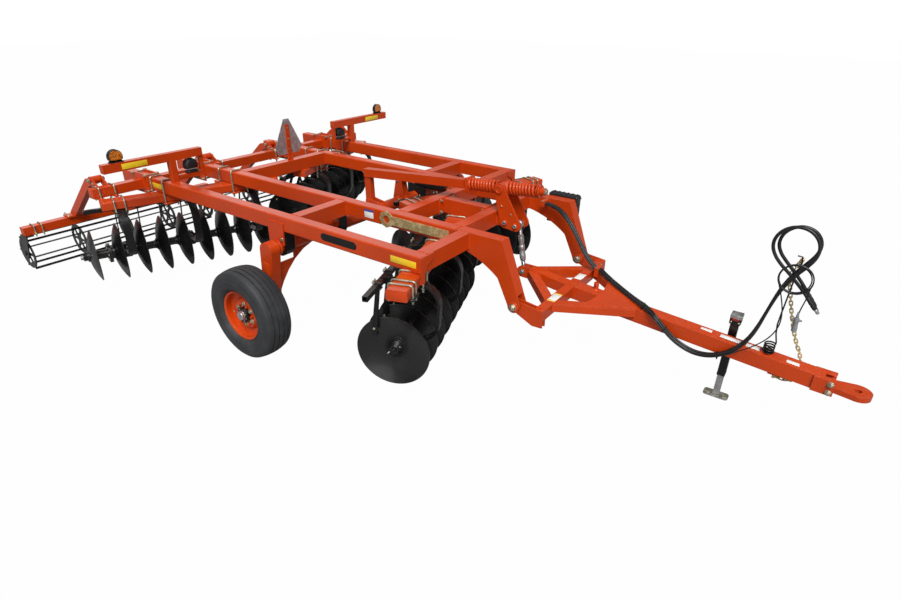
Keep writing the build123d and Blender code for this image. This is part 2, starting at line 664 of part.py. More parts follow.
def on_level_rod(distance):
    """A point on the levelling rod, measured forwards from the trunnion."""
    return (TRUNNION_X + distance * cos(SLOPE), 0, TRUNNION_Z + distance * sin(SLOPE))


with BuildPart() as level_rod:
    rear_end = (LEVER_X - 45, 0, LEVER_Z + 275)
    bar(rear_end, on_level_rod(-350), LEVEL_TUBE, LEVEL_TUBE)
    bar(on_level_rod(-350), on_level_rod(-336), 116, 116)
    rod(on_level_rod(-340), on_level_rod(395), 18)
    rod(on_level_rod(330), on_level_rod(342), 52)
    rod(on_level_rod(342), on_level_rod(380), 30)
    with BuildSketch(Plane.XZ) as hanger_plate:
        with Locations((LEVER_X, LEVER_Z)):
            Circle(36)
        with Locations((LEVER_X - 10, LEVER_Z + 240)):
            Circle(36)
        make_hull()
        with Locations((LEVER_X, LEVER_Z)):
            Circle(15 + FIT, mode=Mode.SUBTRACT)
    side_plate(hanger_plate.sketch, -28, 56)
    bar(on_level_rod(-32), on_level_rod(32), ROCKER_GAP - 2, 70)
save(level_rod.part, "level_rod")

with BuildPart() as level_springs:
    for start in (-334.0, 34.0):
        section = Plane(origin=on_level_rod(start), x_dir=(0, 1, 0),
                        z_dir=Vector(0, 1, 0).cross(Vector(cos(SLOPE), 0, sin(SLOPE))))
        pitch = SPRING_LENGTH / SPRING_TURNS
        with BuildSketch(section) as half:
            with Locations(((18.5 + SPRING_R) / 2, SPRING_LENGTH / 2)):
                Rectangle(SPRING_R - 18.5, SPRING_LENGTH)
            for turn in range(SPRING_TURNS + 1):
                with Locations((SPRING_R, turn * pitch)):
                    Circle(pitch / 2 - SPRING_WIRE / 2, mode=Mode.SUBTRACT)
        revolve(half.sketch, axis=Axis(on_level_rod(start), (cos(SLOPE), 0, sin(SLOPE))))
save(level_springs.part, "level_springs")

with BuildPart() as rocker:
    for y in (-ROCKER_GAP / 2 - ROCKER_T, ROCKER_GAP / 2):
        with BuildSketch(Plane.XZ) as cheek:
            with Locations((TRUNNION_X, TRUNNION_Z)):
                Circle(48)
            with Locations((ROCKER_X, ROCKER_Z), (LINK_X, LINK_Z)):
                Circle(46)
            make_hull()
        side_plate(cheek.sketch, y, ROCKER_T)
    for x, z in ((ROCKER_X, ROCKER_Z), (LINK_X, LINK_Z)):
        rod((x, -ROCKER_GAP / 2 - ROCKER_T - 14, z), (x, ROCKER_GAP / 2 + ROCKER_T + 14, z), 16)
save(rocker.part, "rocker")

with BuildPart() as turnbuckle:
    top = Vector(LINK_X, 0, LINK_Z)
    foot = Vector(CLEVIS_X, 0, CLEVIS_Z)
    run = unit(foot - top)
    for point, bore in ((top, 16 + FIT), (foot, 0)):
        rod(point + Vector(0, -20, 0), point + Vector(0, 20, 0), 34)
        if bore:
            rod(point + Vector(0, -21, 0), point + Vector(0, 21, 0), bore, Mode.SUBTRACT)
    rod(top + run * 26, foot - run * 26, 17)
    rod(top + run * 90, foot - run * 90, 27)
save(turnbuckle.part, "turnbuckle")

# ==== tongue ================================================================================
TILT = radians(TONGUE_DROP)


def tongue_z(x):
    """Height of the main tube's middle."""
    return HITCH_Z + (HITCH_X - x) * tan(TILT)


with BuildPart() as tongue:
    cross_z = tongue_z(CROSS_X)
    cross_end = INNER_Y + EAR_GAP / 2 + PLATE / 2
    bar((CROSS_X, -cross_end, cross_z + 11), (CROSS_X, cross_end, cross_z + 11), CROSS_W, CROSS_H)
    bar((CROSS_X + 20, 0, tongue_z(CROSS_X + 20)), (TUBE_FRONT_X, 0, tongue_z(TUBE_FRONT_X)),
        TONGUE_W, TONGUE_H)
    bar((CLEVIS_X + 70, 0, CLEVIS_Z), (CROSS_X, 0, cross_z), 100, 90)
    for side in (RIGHT, LEFT):
        bar((CROSS_X, side * 420, cross_z + DIAGONAL_RISE),
            (APEX_X, side * 40, tongue_z(APEX_X) + DIAGONAL_RISE), 90, DIAGONAL_H)
        bar((CLEVIS_X + 95, side * 30, CLEVIS_Z - 5), (CROSS_X, side * 400, cross_z + 8), 76, 76)
        for y in (side * INNER_Y - EAR_GAP / 2 - PLATE / 2, side * INNER_Y + EAR_GAP / 2 - PLATE / 2):
            with BuildSketch(Plane.XZ) as ear:
                with BuildLine():
                    Polyline((HINGE_X, HINGE_Z + 48), (CROSS_X + CROSS_W / 2, cross_z + 56),
                             (CROSS_X + CROSS_W / 2 + 4, cross_z - 80),
                             (CROSS_X - 40, cross_z - 84), (HINGE_X, HINGE_Z - 48), close=True)
                make_face()
                with Locations((HINGE_X, HINGE_Z)):
                    Circle(48)
            side_plate(ear.sketch, y, PLATE)
        rod((HINGE_X, side * (INNER_Y - TUBE_W / 2 - 14), HINGE_Z),
            (HINGE_X, side * (INNER_Y + TUBE_W / 2 + 14), HINGE_Z), HINGE_PIN_R)
    for y in (-CLEVIS_GAP / 2 - PLATE, CLEVIS_GAP / 2):
        with BuildSketch(Plane.XZ) as ear:
            with Locations((CLEVIS_X, CLEVIS_Z)):
                Circle(50)
            with Locations((CLEVIS_X + 60, CLEVIS_Z)):
                Rectangle(120, 100)
        side_plate(ear.sketch, y, PLATE)
    # clamp that holds the hoses on the left diagonal, and a foot that reaches down to it
    box(TIE_X - 35, TIE_X, TIE_Y - 66, TIE_Y + 40, TIE_Z - 60, TIE_Z + 20)
    # foot of the hose holder, and the lug under the tube that the safety chain is bolted to
    box(HOLDER_X - 42, HOLDER_X + 42, -24, 24, HOLDER_FOOT_Z - 30, HOLDER_FOOT_Z)
    box(CHAIN_LUG_X - 40, CHAIN_LUG_X + 50, -28, 28, CHAIN_LUG_Z, CHAIN_LUG_Z + 40)
    # seat that the jack swings on
    rod((JACK_X, TONGUE_W / 2, JACK_PIVOT_Z), (JACK_X, JACK_SEAT_Y - FIT, JACK_PIVOT_Z), JACK_SEAT_R)
save(tongue.part, "tongue")

with BuildPart() as hitch:
    for y in (-TONGUE_W / 2 - PLATE, TONGUE_W / 2):
        with BuildSketch(Plane.XZ) as strap:
            with BuildLine():
                Polyline((HITCH_PLATE_X, tongue_z(HITCH_PLATE_X) + 52),
                         (TUBE_FRONT_X + 70, tongue_z(TUBE_FRONT_X) + 52),
                         (TUBE_FRONT_X + 70, tongue_z(TUBE_FRONT_X) - 60),
                         (HITCH_PLATE_X, tongue_z(HITCH_PLATE_X) - 60), close=True)
            make_face()
        side_plate(strap.sketch, y, PLATE)
    box(TUBE_FRONT_X + 5, TUBE_FRONT_X + 70, -TONGUE_W / 2, TONGUE_W / 2,
        HITCH_Z - 25, HITCH_Z + 30)
    with BuildSketch(Plane.XY.offset(HITCH_Z - HITCH_THICK / 2)) as eye:
        with Locations((HITCH_X, 0)):
            Circle(HITCH_RING_R)
        with Locations((TUBE_FRONT_X + 60, 0)):
            Rectangle(20, 110)
        make_hull()
        with Locations((HITCH_X, 0)):
            Circle(HITCH_EYE_R, mode=Mode.SUBTRACT)
    extrude(eye.sketch, amount=HITCH_THICK)
save(hitch.part, "hitch")

# ==== jack ==================================================================================
with BuildPart() as jack_body:
    box(JACK_X - JACK_TUBE / 2, JACK_X + JACK_TUBE / 2, JACK_Y - JACK_TUBE / 2,
        JACK_Y + JACK_TUBE / 2, JACK_TUBE_LOW, JACK_TOP)
    rod((JACK_X, JACK_SEAT_Y, JACK_PIVOT_Z), (JACK_X, JACK_Y, JACK_PIVOT_Z), JACK_SEAT_R)
    box(JACK_X - 38, JACK_X + 38, JACK_Y - 38, JACK_Y + 38, JACK_TOP, JACK_TOP + 70)
    half_bore = JACK_LEG / 2 + FIT
    box(JACK_X - half_bore, JACK_X + half_bore, JACK_Y - half_bore, JACK_Y + half_bore,
        JACK_TUBE_LOW - 1, JACK_TOP - 10, Mode.SUBTRACT)
save(jack_body.part, "jack_body")
with BuildPart() as jack_leg:
    with BuildSketch() as foot:
        with Locations((JACK_X, JACK_Y)):
            RectangleRounded(*JACK_FOOT, 24)
    extrude(foot.sketch, amount=10)
    box(JACK_X - JACK_LEG / 2, JACK_X + JACK_LEG / 2, JACK_Y - JACK_LEG / 2,
        JACK_Y + JACK_LEG / 2, 10, 360)
save(jack_leg.part, "jack_leg")

# ==== rear toolbar and finishing reels ======================================================
with BuildPart() as rear_toolbar:
    for y_from, y_to in ((-TOOLBAR_END_Y, -OUTER_BACK), (-OUTER_FACE, -INNER_BACK),
                         (-INNER_FACE, INNER_FACE), (INNER_BACK, OUTER_FACE),
                         (OUTER_BACK, TOOLBAR_END_Y)):
        bar((TOOLBAR_X, y_from, TOOLBAR_TOP - TOOLBAR_H / 2),
            (TOOLBAR_X, y_to, TOOLBAR_TOP - TOOLBAR_H / 2), TOOLBAR_W, TOOLBAR_H,
            wall=THIN_WALL)
        for y, inwards in ((y_from, 1), (y_to, -1)):
            if abs(y) < TOOLBAR_END_Y:
                box(TOOLBAR_X - FLANGE_L / 2, TOOLBAR_X + FLANGE_L / 2, min(y, y + inwards * PLATE),
                    max(y, y + inwards * PLATE), FRAME_TOP + 20 - FLANGE_H, FRAME_TOP + 20)
    for side in (RIGHT, LEFT):
        for centre in REEL_ARM_Y:
            for y in (side * centre - 52, side * centre + 52 - PLATE):
                with BuildSketch(Plane.XZ) as lug:
                    with Locations((REEL_PIVOT_X, REEL_PIVOT_Z)):
                        Circle(36)
                    with Locations((TOOLBAR_X - 20, TOOLBAR_TOP - 40)):
                        Rectangle(50, 80)
                    make_hull()
                    with Locations((REEL_PIVOT_X, REEL_PIVOT_Z)):
                        Circle(14 + FIT, mode=Mode.SUBTRACT)
                side_plate(lug.sketch, y, PLATE)
save(rear_toolbar.part, "rear_toolbar")

REEL_MIDDLE_Y = (REEL_INNER_Y + REEL_OUTER_Y) / 2
for name, side in (("right", RIGHT), ("left", LEFT)):
    inner = side * (REEL_INNER_Y - REEL_END_T - 6)
    outer = side * (REEL_OUTER_Y + REEL_END_T + 6)
    with BuildPart() as reel_frame:
        bar((REEL_BEAM_X, side * (REEL_INNER_Y - 10), REEL_BEAM_Z),
            (REEL_BEAM_X, side * (REEL_OUTER_Y + 10), REEL_BEAM_Z), REEL_BEAM, REEL_BEAM,
            wall=THIN_WALL)
        for centre in REEL_ARM_Y:
            y = side * centre
            bar((REEL_PIVOT_X, y, REEL_PIVOT_Z), (REEL_PIVOT_X - 150, y, REEL_PIVOT_Z - 60), 60, 70)
            bar((REEL_PIVOT_X - 130, y, REEL_PIVOT_Z - 45),
                (REEL_BEAM_X, y, REEL_BEAM_Z + 40), 60, 80, wall=THIN_WALL)
            rod((REEL_PIVOT_X, y - 38, REEL_PIVOT_Z), (REEL_PIVOT_X, y + 38, REEL_PIVOT_Z), 35)
            rod((REEL_PIVOT_X, y - 62, REEL_PIVOT_Z), (REEL_PIVOT_X, y + 62, REEL_PIVOT_Z), 14)
            box(REEL_BEAM_X - 60, REEL_BEAM_X + 60, y - 90, y + 90,
                REEL_BEAM_Z + REEL_BEAM / 2, REEL_BEAM_Z + REEL_BEAM / 2 + 14)
    save(reel_frame.part, f"reel_frame_{name}")
    with BuildPart() as reel_hangers:
        for y in (side * (REEL_INNER_Y - REEL_END_T - 5), side * (REEL_OUTER_Y + 5)):
            low = min(y, y + side * REEL_END_T)
            with BuildSketch(Plane.XZ) as end_plate:
                with Locations((REEL_X, REEL_Z)):
                    Circle(60)
                with Locations((REEL_BEAM_X, REEL_BEAM_Z - REEL_BEAM / 2 - 20)):
                    Rectangle(140, 40)
                make_hull()
                with Locations((REEL_X, REEL_Z)):
                    Circle(20 + FIT, mode=Mode.SUBTRACT)
            side_plate(end_plate.sketch, low, REEL_END_T)
            inwards = y + (60 if y * side < side * side * REEL_MIDDLE_Y else -60) * side
            box(REEL_BEAM_X - 70, REEL_BEAM_X + 70, min(low, inwards), max(low, inwards),
                REEL_BEAM_Z - REEL_BEAM / 2 - 10, REEL_BEAM_Z - REEL_BEAM / 2)
    save(reel_hangers.part, f"reel_hangers_{name}")
    with BuildPart() as reel:
        start = side * REEL_INNER_Y
        end = side * REEL_OUTER_Y
        rod((REEL_X, start - side * 24, REEL_Z), (REEL_X, start + side * 12, REEL_Z), 20)
        rod((REEL_X, end + side * 24, REEL_Z), (REEL_X, end - side * 12, REEL_Z), 20)
        for index in range(5):
            y = start + (end - start) * index / 4
            middle = y + side * (6 if index == 0 else (-6 if index == 4 else 0))
            with BuildSketch(Plane.XZ) as spider:
                with Locations((REEL_X, REEL_Z)):
                    Circle(45)
                    Circle(REEL_R - REEL_BAR + 3)
                    Circle(REEL_R - REEL_BAR - 40, mode=Mode.SUBTRACT)
                    Circle(45)
                    with PolarLocations((REEL_R - REEL_BAR) / 2, REEL_BARS):
                        Rectangle(REEL_R - REEL_BAR - 20, 26)
            side_plate(spider.sketch, middle - 4, 8)
        for index in range(REEL_BARS):
            angle = 2 * pi * index / REEL_BARS
            x = REEL_X + (REEL_R - REEL_BAR / 2) * cos(angle)
            z = REEL_Z + (REEL_R - REEL_BAR / 2) * sin(angle)
            bar((x, start, z), (x, end, z), REEL_BAR, 10, side=(cos(angle), 0, sin(angle)))
    save(reel.part, f"reel_{name}")

# ==== lights, sign and small things on the frame ============================================
with BuildPart() as light_brackets:
    for side in (RIGHT, LEFT):
        bar((LIGHT_X, side * LIGHT_POST_Y, FRAME_TOP),
            (LIGHT_X, side * LIGHT_POST_Y, LIGHT_ARM_Z - LIGHT_ARM_H / 2),
            LIGHT_ARM_W, LIGHT_ARM_W, side=(1, 0, 0), wall=THIN_WALL)
        bar((LIGHT_X, side * LIGHT_INNER_Y, LIGHT_ARM_Z), (LIGHT_X, side * LIGHT_OUTER_Y, LIGHT_ARM_Z),
            LIGHT_ARM_W, LIGHT_ARM_H, wall=THIN_WALL)
        y_in = side * LIGHT_INNER_Y
        box(LIGHT_X - 20, LIGHT_X + 20, min(y_in, y_in + side * 30), max(y_in, y_in + side * 30),
            LAMP_SHELF_Z, LIGHT_ARM_Z - LIGHT_ARM_H / 2)
        box(LIGHT_X - 20, LIGHT_X + 20, min(y_in, side * LIGHT_POST_Y),
            max(y_in, side * LIGHT_POST_Y), LAMP_SHELF_Z - 25, LAMP_SHELF_Z)
    # post of the sign on the rear cross tube
    box(REAR_TUBE_X - 5, REAR_TUBE_X + 5, SIGN_Y - 25, SIGN_Y + 25, FRAME_TOP, SIGN_TOP - 60)
save(light_brackets.part, "light_brackets")

with BuildPart() as warning_lamps:
    for side in (RIGHT, LEFT):
        with BuildSketch(Plane.YZ.offset(LIGHT_X - WARNING_LAMP_T / 2)) as lamp:
            with Locations((side * WARNING_LAMP_Y, LIGHT_ARM_Z + LIGHT_ARM_H / 2 + 50)):
                Circle(WARNING_LAMP_R)
            with Locations((side * WARNING_LAMP_Y, LIGHT_ARM_Z + LIGHT_ARM_H / 2 + 15)):
                Rectangle(2 * WARNING_LAMP_R, 30)
            with Locations((side * WARNING_LAMP_Y, LIGHT_ARM_Z + LIGHT_ARM_H / 2 - 50)):
                Rectangle(4 * WARNING_LAMP_R, 100, mode=Mode.SUBTRACT)
        extrude(lamp.sketch, amount=WARNING_LAMP_T)
save(warning_lamps.part, "warning_lamps")

with BuildPart() as tail_lamps:
    for side in (RIGHT, LEFT):
        with BuildSketch(Plane.YZ.offset(LIGHT_X - TAIL_LAMP_T / 2)) as lamp:
            with Locations((side * TAIL_LAMP_Y, LAMP_SHELF_Z + TAIL_LAMP_R)):
                Circle(TAIL_LAMP_R)
            with Locations((side * TAIL_LAMP_Y, LAMP_SHELF_Z + 10)):
                Rectangle(2 * TAIL_LAMP_R - 12, 20)
        extrude(lamp.sketch, amount=TAIL_LAMP_T)
save(tail_lamps.part, "tail_lamps")

with BuildPart() as slow_sign:
    with BuildSketch(Plane.YZ.offset(REAR_TUBE_X - 5 - SIGN_T)) as plate:
        with Locations((SIGN_Y, 0)):
            with BuildLine():
                Polyline((-SIGN_W / 2, SIGN_TOP - SIGN_H), (SIGN_W / 2, SIGN_TOP - SIGN_H),
                         (SIGN_W / 2, SIGN_TOP - SIGN_H + 36), (35, SIGN_TOP), (-35, SIGN_TOP),
                         (-SIGN_W / 2, SIGN_TOP - SIGN_H + 36), close=True)
            make_face()
    extrude(plate.sketch.moved(Location((0, SIGN_Y, 0))), amount=SIGN_T)
save(slow_sign.part, "slow_sign")

with BuildPart() as gang_wrench:
    wrench_face = -INNER_BACK
    with BuildSketch(Plane.XZ) as wrench:
        with Locations((WRENCH_REAR_X + 60, WRENCH_Z)):
            RegularPolygon(72, 8)
        with Locations(((WRENCH_REAR_X + 60 + WRENCH_FRONT_X) / 2, WRENCH_Z)):
            Rectangle(WRENCH_FRONT_X - WRENCH_REAR_X - 60, 74)
        with Locations((WRENCH_REAR_X + 60, WRENCH_Z)):
            RegularPolygon(36, 6, mode=Mode.SUBTRACT)
    side_plate(wrench.sketch, wrench_face - 10, 10)
save(gang_wrench.part, "gang_wrench")

with BuildPart() as manual_box:
    box(MANUAL_X, MANUAL_X + 280, INNER_BACK, INNER_BACK + 92, MANUAL_TOP - 270, MANUAL_TOP)
    fillet(manual_box.edges().filter_by(Axis.X).group_by(Axis.Z)[-1], 18)
    fillet(manual_box.edges().filter_by(Axis.Z).group_by(Axis.Y)[-1], 14)
save(manual_box.part, "manual_box")

# ==== hoses, lamp cable and safety chain ====================================================
# x, y, z of the run from the frame's clamp to the tongue's, before each line's offset in y
BRIDGE = (
    (1600, 500, 1108), (1700, 492, 1098), (1795, 470, 1055), (1885, 440, 985), (1965, 412, 900),
    (2040, 385, 812), (2115, 362, 738), (2183.4, 346.5, 694.2),
)
# right hose along the tongue as far as its droop, then up and round its loop
ALONG_TONGUE = (
    (2225, 310, 690), (2320, 256, 662), (2430, 180, 648), (2540, 110, 636), (2640, 40, 632),
    (2740, -35, 640), (2825, -98, 618), (2900, -106, 556), (2980, -106, 490), (3070, -105, 444),
    (3165, -105, 424), (3260, -105, 438), (3345, -104, 484),
)
RIGHT_LOOP = (
    (3415, -104, 552), (3468, -88, 636), (3500, -70, 730), (3518, -54, 828), (3538, -48, 925),
    (3560, -48, 1012), (3590, -48, 1092), (3630, -48, 1166), (3671, -48, 1228),
    (3702, -47, 1290), (3708, -45, 1358), (3679, -42, 1420), (3622, -38, 1460),
    (3554, -34, 1466), (3492, -30, 1437), (3452, -27, 1380), (3446, -24, 1312),
    (3475, -22, 1250), (3525, -22, 1196), (3583, -22, 1150), (3640, -22, 1099),
    (3694, -22, 1047), (3745, -22, 992),
)
LEFT_LOOP = (
    (3415, -77, 560), (3468, -48, 640), (3500, -10, 735), (3522, 22, 832), (3542, 42, 928),
    (3563, 48, 1014), (3592, 48, 1094), (3631, 48, 1168), (3672, 48, 1231),
    (3704, 47, 1294), (3709, 45, 1356), (3683, 42, 1411), (3633, 38, 1447),
    (3571, 34, 1452), (3516, 30, 1426), (3480, 27, 1376), (3475, 24, 1314),
    (3501, 22, 1259), (3544, 22, 1212), (3594, 22, 1165), (3646, 22, 1113),
    (3696, 22, 1056), (3742, 22, 996),
)
CABLE_RISE = (
    (3412, -120, 536), (3480, -113, 588), (3545, -105, 650), (3597, -98, 725), (3622, -92, 808),
    (3617, -88, 890), (3598, -85, 960), (3576, -84, 1022), (3556, -84, 1080),
)
CABLE_DROP = (
    (3722, -84, 1112), (3723, -83, 1062), (3716, -81, 1008), (3707, -79, 953), (3703, -78, 900),
)
PLUG_END = (3708, -78, 790)
HOLDER_WIRE = (
    (3632, 0, 636), (3615, 0, 700), (3606, 0, 768), (3609, 0, 860), (3614, 0, 960),
    (3618, 0, 1060), (3624, 0, 1150), (3634, 0, 1225), (3628, 0, 1268), (3600, 0, 1270),
)
CHAIN_PATH = (
    (3633, 34, 1238), (3621, 82, 1202), (3596, 82, 1126), (3605, 82, 1029), (3636, 82, 928),
    (3668, 82, 825), (3706, 82, 722), (3750, 82, 621), (3782, 82, 569), (3806, 83, 490),
    (3812, 84, 415), (3800, 50, 372), (3752, 10, 372), (3690, 0, 378),
)


def corner_radii(points):
    """Radius for each corner: 0.45 of the shorter run over the tangent of half the turn."""
    radii = []
    for before, here, after in zip(points, points[1:], points[2:]):
        run_in = Vector(*here) - Vector(*before)
        run_out = Vector(*after) - Vector(*here)
        half_turn = radians(run_in.get_angle(run_out)) / 2
        radii.append(0.45 * min(run_in.length, run_out.length) / tan(half_turn))
    return radii


def tube(points, diameter, label=None):
    """Add a round tube along straight runs joined by tangent arcs."""
    radii = corner_radii(points)
    with BuildLine() as path:
        FilletPolyline(*points, radius=radii)
    line = path.wire()
    with BuildSketch(Plane(origin=line @ 0, z_dir=line % 0)) as section:
        Circle(diameter / 2)
    sweep(section.sketch, path=line)
    if label:
        print(label, "length", round(line.length), "mm, radii from", round(min(radii)), "mm:",
              [round(radius) for radius in radii])


def shifted(points, across):
    return [(x, y + across, z) for x, y, z in points]


with BuildPart() as hose_bridge:
    for offset, diameter in zip(HOSE_OFFSETS, (HOSE_D, HOSE_D, CABLE_D)):
        tube(shifted(BRIDGE, offset), diameter, f"bridge {offset:.0f}")
save(hose_bridge.part, "hose_bridge")
with BuildPart() as hose_right:
    tube(ALONG_TONGUE + RIGHT_LOOP, HOSE_D, "hose_right")
save(hose_right.part, "hose_right")
with BuildPart() as hose_left:
    tube(shifted(ALONG_TONGUE, HOSE_OFFSETS[1] - HOSE_OFFSETS[0]) + list(LEFT_LOOP), HOSE_D,
         "hose_left")
save(hose_left.part, "hose_left")
with BuildPart() as lamp_cable:
    tube(shifted(ALONG_TONGUE, HOSE_OFFSETS[2] - HOSE_OFFSETS[0]) + list(CABLE_RISE), CABLE_D,
         "lamp_cable")
    tube(CABLE_DROP, CABLE_D, "lamp_cable drop")
save(lamp_cable.part, "lamp_cable")

with BuildPart() as cable_coil:
    centre = Vector(COIL_X, COIL_Y, COIL_Z)
    with BuildSketch(Plane(origin=centre, x_dir=(1, 0, 0), z_dir=(0, 0, 1))) as bundle:
        with Locations((COIL_R, 0)):
            Circle(COIL_T)
    revolve(bundle.sketch, axis=Axis(centre, (0, 1, 0)))
save(cable_coil.part, "cable_coil")

with BuildPart() as couplers:
    for loop in (RIGHT_LOOP, LEFT_LOOP):
        end = Vector(*loop[-1])
        ahead = unit(end - Vector(*loop[-2]))
        rod(end, end + ahead * 58, 15)
        rod(end + ahead * 58, end + ahead * 92, 11)
save(couplers.part, "couplers")
with BuildPart() as cable_plug:
    end = Vector(*CABLE_DROP[-1])
    tip = Vector(*PLUG_END)
    ahead = unit(tip - end)
    rod(end, end + ahead * 14, 9)
    rod(end + ahead * 14, tip, 17)
    bar(end + ahead * 24, end + ahead * 34, 66, 20)
save(cable_plug.part, "cable_plug")

with BuildPart() as hose_holder:
    with BuildSketch(Plane.XZ) as spring:
        with Locations((HOLDER_X + HOLDER_R, HOLDER_FOOT_Z + 44)):
            Rectangle(8, 88)
    revolve(spring.sketch, axis=Axis((HOLDER_X, 0, 0), (0, 0, 1)))
    tube(HOLDER_WIRE, 10)
save(hose_holder.part, "hose_holder")

with BuildPart() as safety_chain:
    with BuildLine() as chain_line:
        Polyline(*CHAIN_PATH)
    chain_run = chain_line.wire()
    links = int(chain_run.length / CHAIN_PITCH)
    length, width, wire = CHAIN_LINK
    for index in range(links + 1):
        place = index * CHAIN_PITCH / chain_run.length
        along_chain = chain_run % place
        across = Vector(0, 1, 0) if index % 2 else along_chain.cross(Vector(0, 1, 0))
        with BuildSketch(Plane(origin=chain_run @ place, x_dir=along_chain, z_dir=across)) as link:
            SlotOverall(length, width)
            SlotOverall(length - 2 * wire, width - 2 * wire, mode=Mode.SUBTRACT)
        extrude(link.sketch, amount=wire / 2, both=True)
    rod((CHAIN_LUG_X, 0, CHAIN_LUG_Z), (CHAIN_LUG_X, 0, CHAIN_LUG_Z - 34), 9)
save(safety_chain.part, "safety_chain")
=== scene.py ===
"""Dresses a towed tandem disc harrow: finishes, tyres, bolts, springs, lamps, hoses and stage.

Lengths are metres in the row frame: +X forwards to the hitch, +Y to the machine's left, +Z up.
at() takes places in millimetres from the wheel axle's line on the ground.
"""
import json
import math

import bmesh
import bpy
from mathutils import Matrix, Vector


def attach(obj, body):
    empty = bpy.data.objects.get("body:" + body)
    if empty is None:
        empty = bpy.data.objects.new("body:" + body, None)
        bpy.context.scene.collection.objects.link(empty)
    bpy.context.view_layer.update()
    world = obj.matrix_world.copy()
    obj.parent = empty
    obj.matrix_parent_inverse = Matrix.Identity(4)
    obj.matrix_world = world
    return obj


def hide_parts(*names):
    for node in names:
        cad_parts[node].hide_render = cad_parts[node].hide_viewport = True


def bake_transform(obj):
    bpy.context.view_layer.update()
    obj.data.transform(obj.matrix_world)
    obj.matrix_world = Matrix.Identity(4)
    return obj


bl_info = {
    "name": "Disc harrow dressing",
    "version": (1, 0, 0),
    "blender": (4, 5, 0),
    "location": "3D View > Sidebar > Harrow",
    "description": "Finishes and fittings for a towed tandem disc harrow",
    "category": "Object",
}

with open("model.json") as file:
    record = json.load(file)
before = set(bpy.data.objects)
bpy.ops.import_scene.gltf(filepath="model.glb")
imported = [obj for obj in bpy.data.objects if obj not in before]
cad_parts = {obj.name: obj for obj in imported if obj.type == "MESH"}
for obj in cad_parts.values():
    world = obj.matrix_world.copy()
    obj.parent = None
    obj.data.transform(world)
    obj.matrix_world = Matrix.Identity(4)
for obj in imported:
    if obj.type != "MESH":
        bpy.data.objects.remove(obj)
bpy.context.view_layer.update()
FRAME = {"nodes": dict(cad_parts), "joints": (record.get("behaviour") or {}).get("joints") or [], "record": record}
NODES = FRAME["nodes"]
JOINTS = {joint["name"]: joint for joint in FRAME["joints"]}
AXLE_X = JOINTS["wheel_right_spin"]["pos_m"][0]
STUD = 0.010                    # how far a thread stands out of its nut
MM = 0.001
RIGHT = -1
LEFT = 1
SIDES = (("right", RIGHT), ("left", LEFT))
WAYS = (-1, 1)
X_AXIS = Vector((1, 0, 0))
Y_AXIS = Vector((0, 1, 0))
Z_AXIS = Vector((0, 0, 1))


def at(x, y, z):
    """A point in metres from millimetres ahead of the axle, to the left and above the ground."""
    return Vector((x * MM + AXLE_X, y * MM, z * MM))


# ==== shader maths ==========================================================================
class Value:
    """A socket or number in a material, with Python's arithmetic."""

    def __init__(self, paint, source):
        self.paint = paint
        self.source = source

    def _maths(self, operation, first, second):
        return self.paint.value("ShaderNodeMath", {"operation": operation}, {0: first, 1: second})

    def __add__(self, other):
        return self._maths("ADD", self, other)

    def __radd__(self, other):
        return self._maths("ADD", other, self)

    def __sub__(self, other):
        return self._maths("SUBTRACT", self, other)

    def __rsub__(self, other):
        return self._maths("SUBTRACT", other, self)

    def __mul__(self, other):
        return self._maths("MULTIPLY", self, other)

    def __rmul__(self, other):
        return self._maths("MULTIPLY", other, self)

    def step(self, low, high):
        """0 below low, 1 above high and smooth between."""
        return self.paint.value(
            "ShaderNodeMapRange", {"interpolation_type": "SMOOTHSTEP"},
            {"Value": self, "From Min": low, "From Max": high})


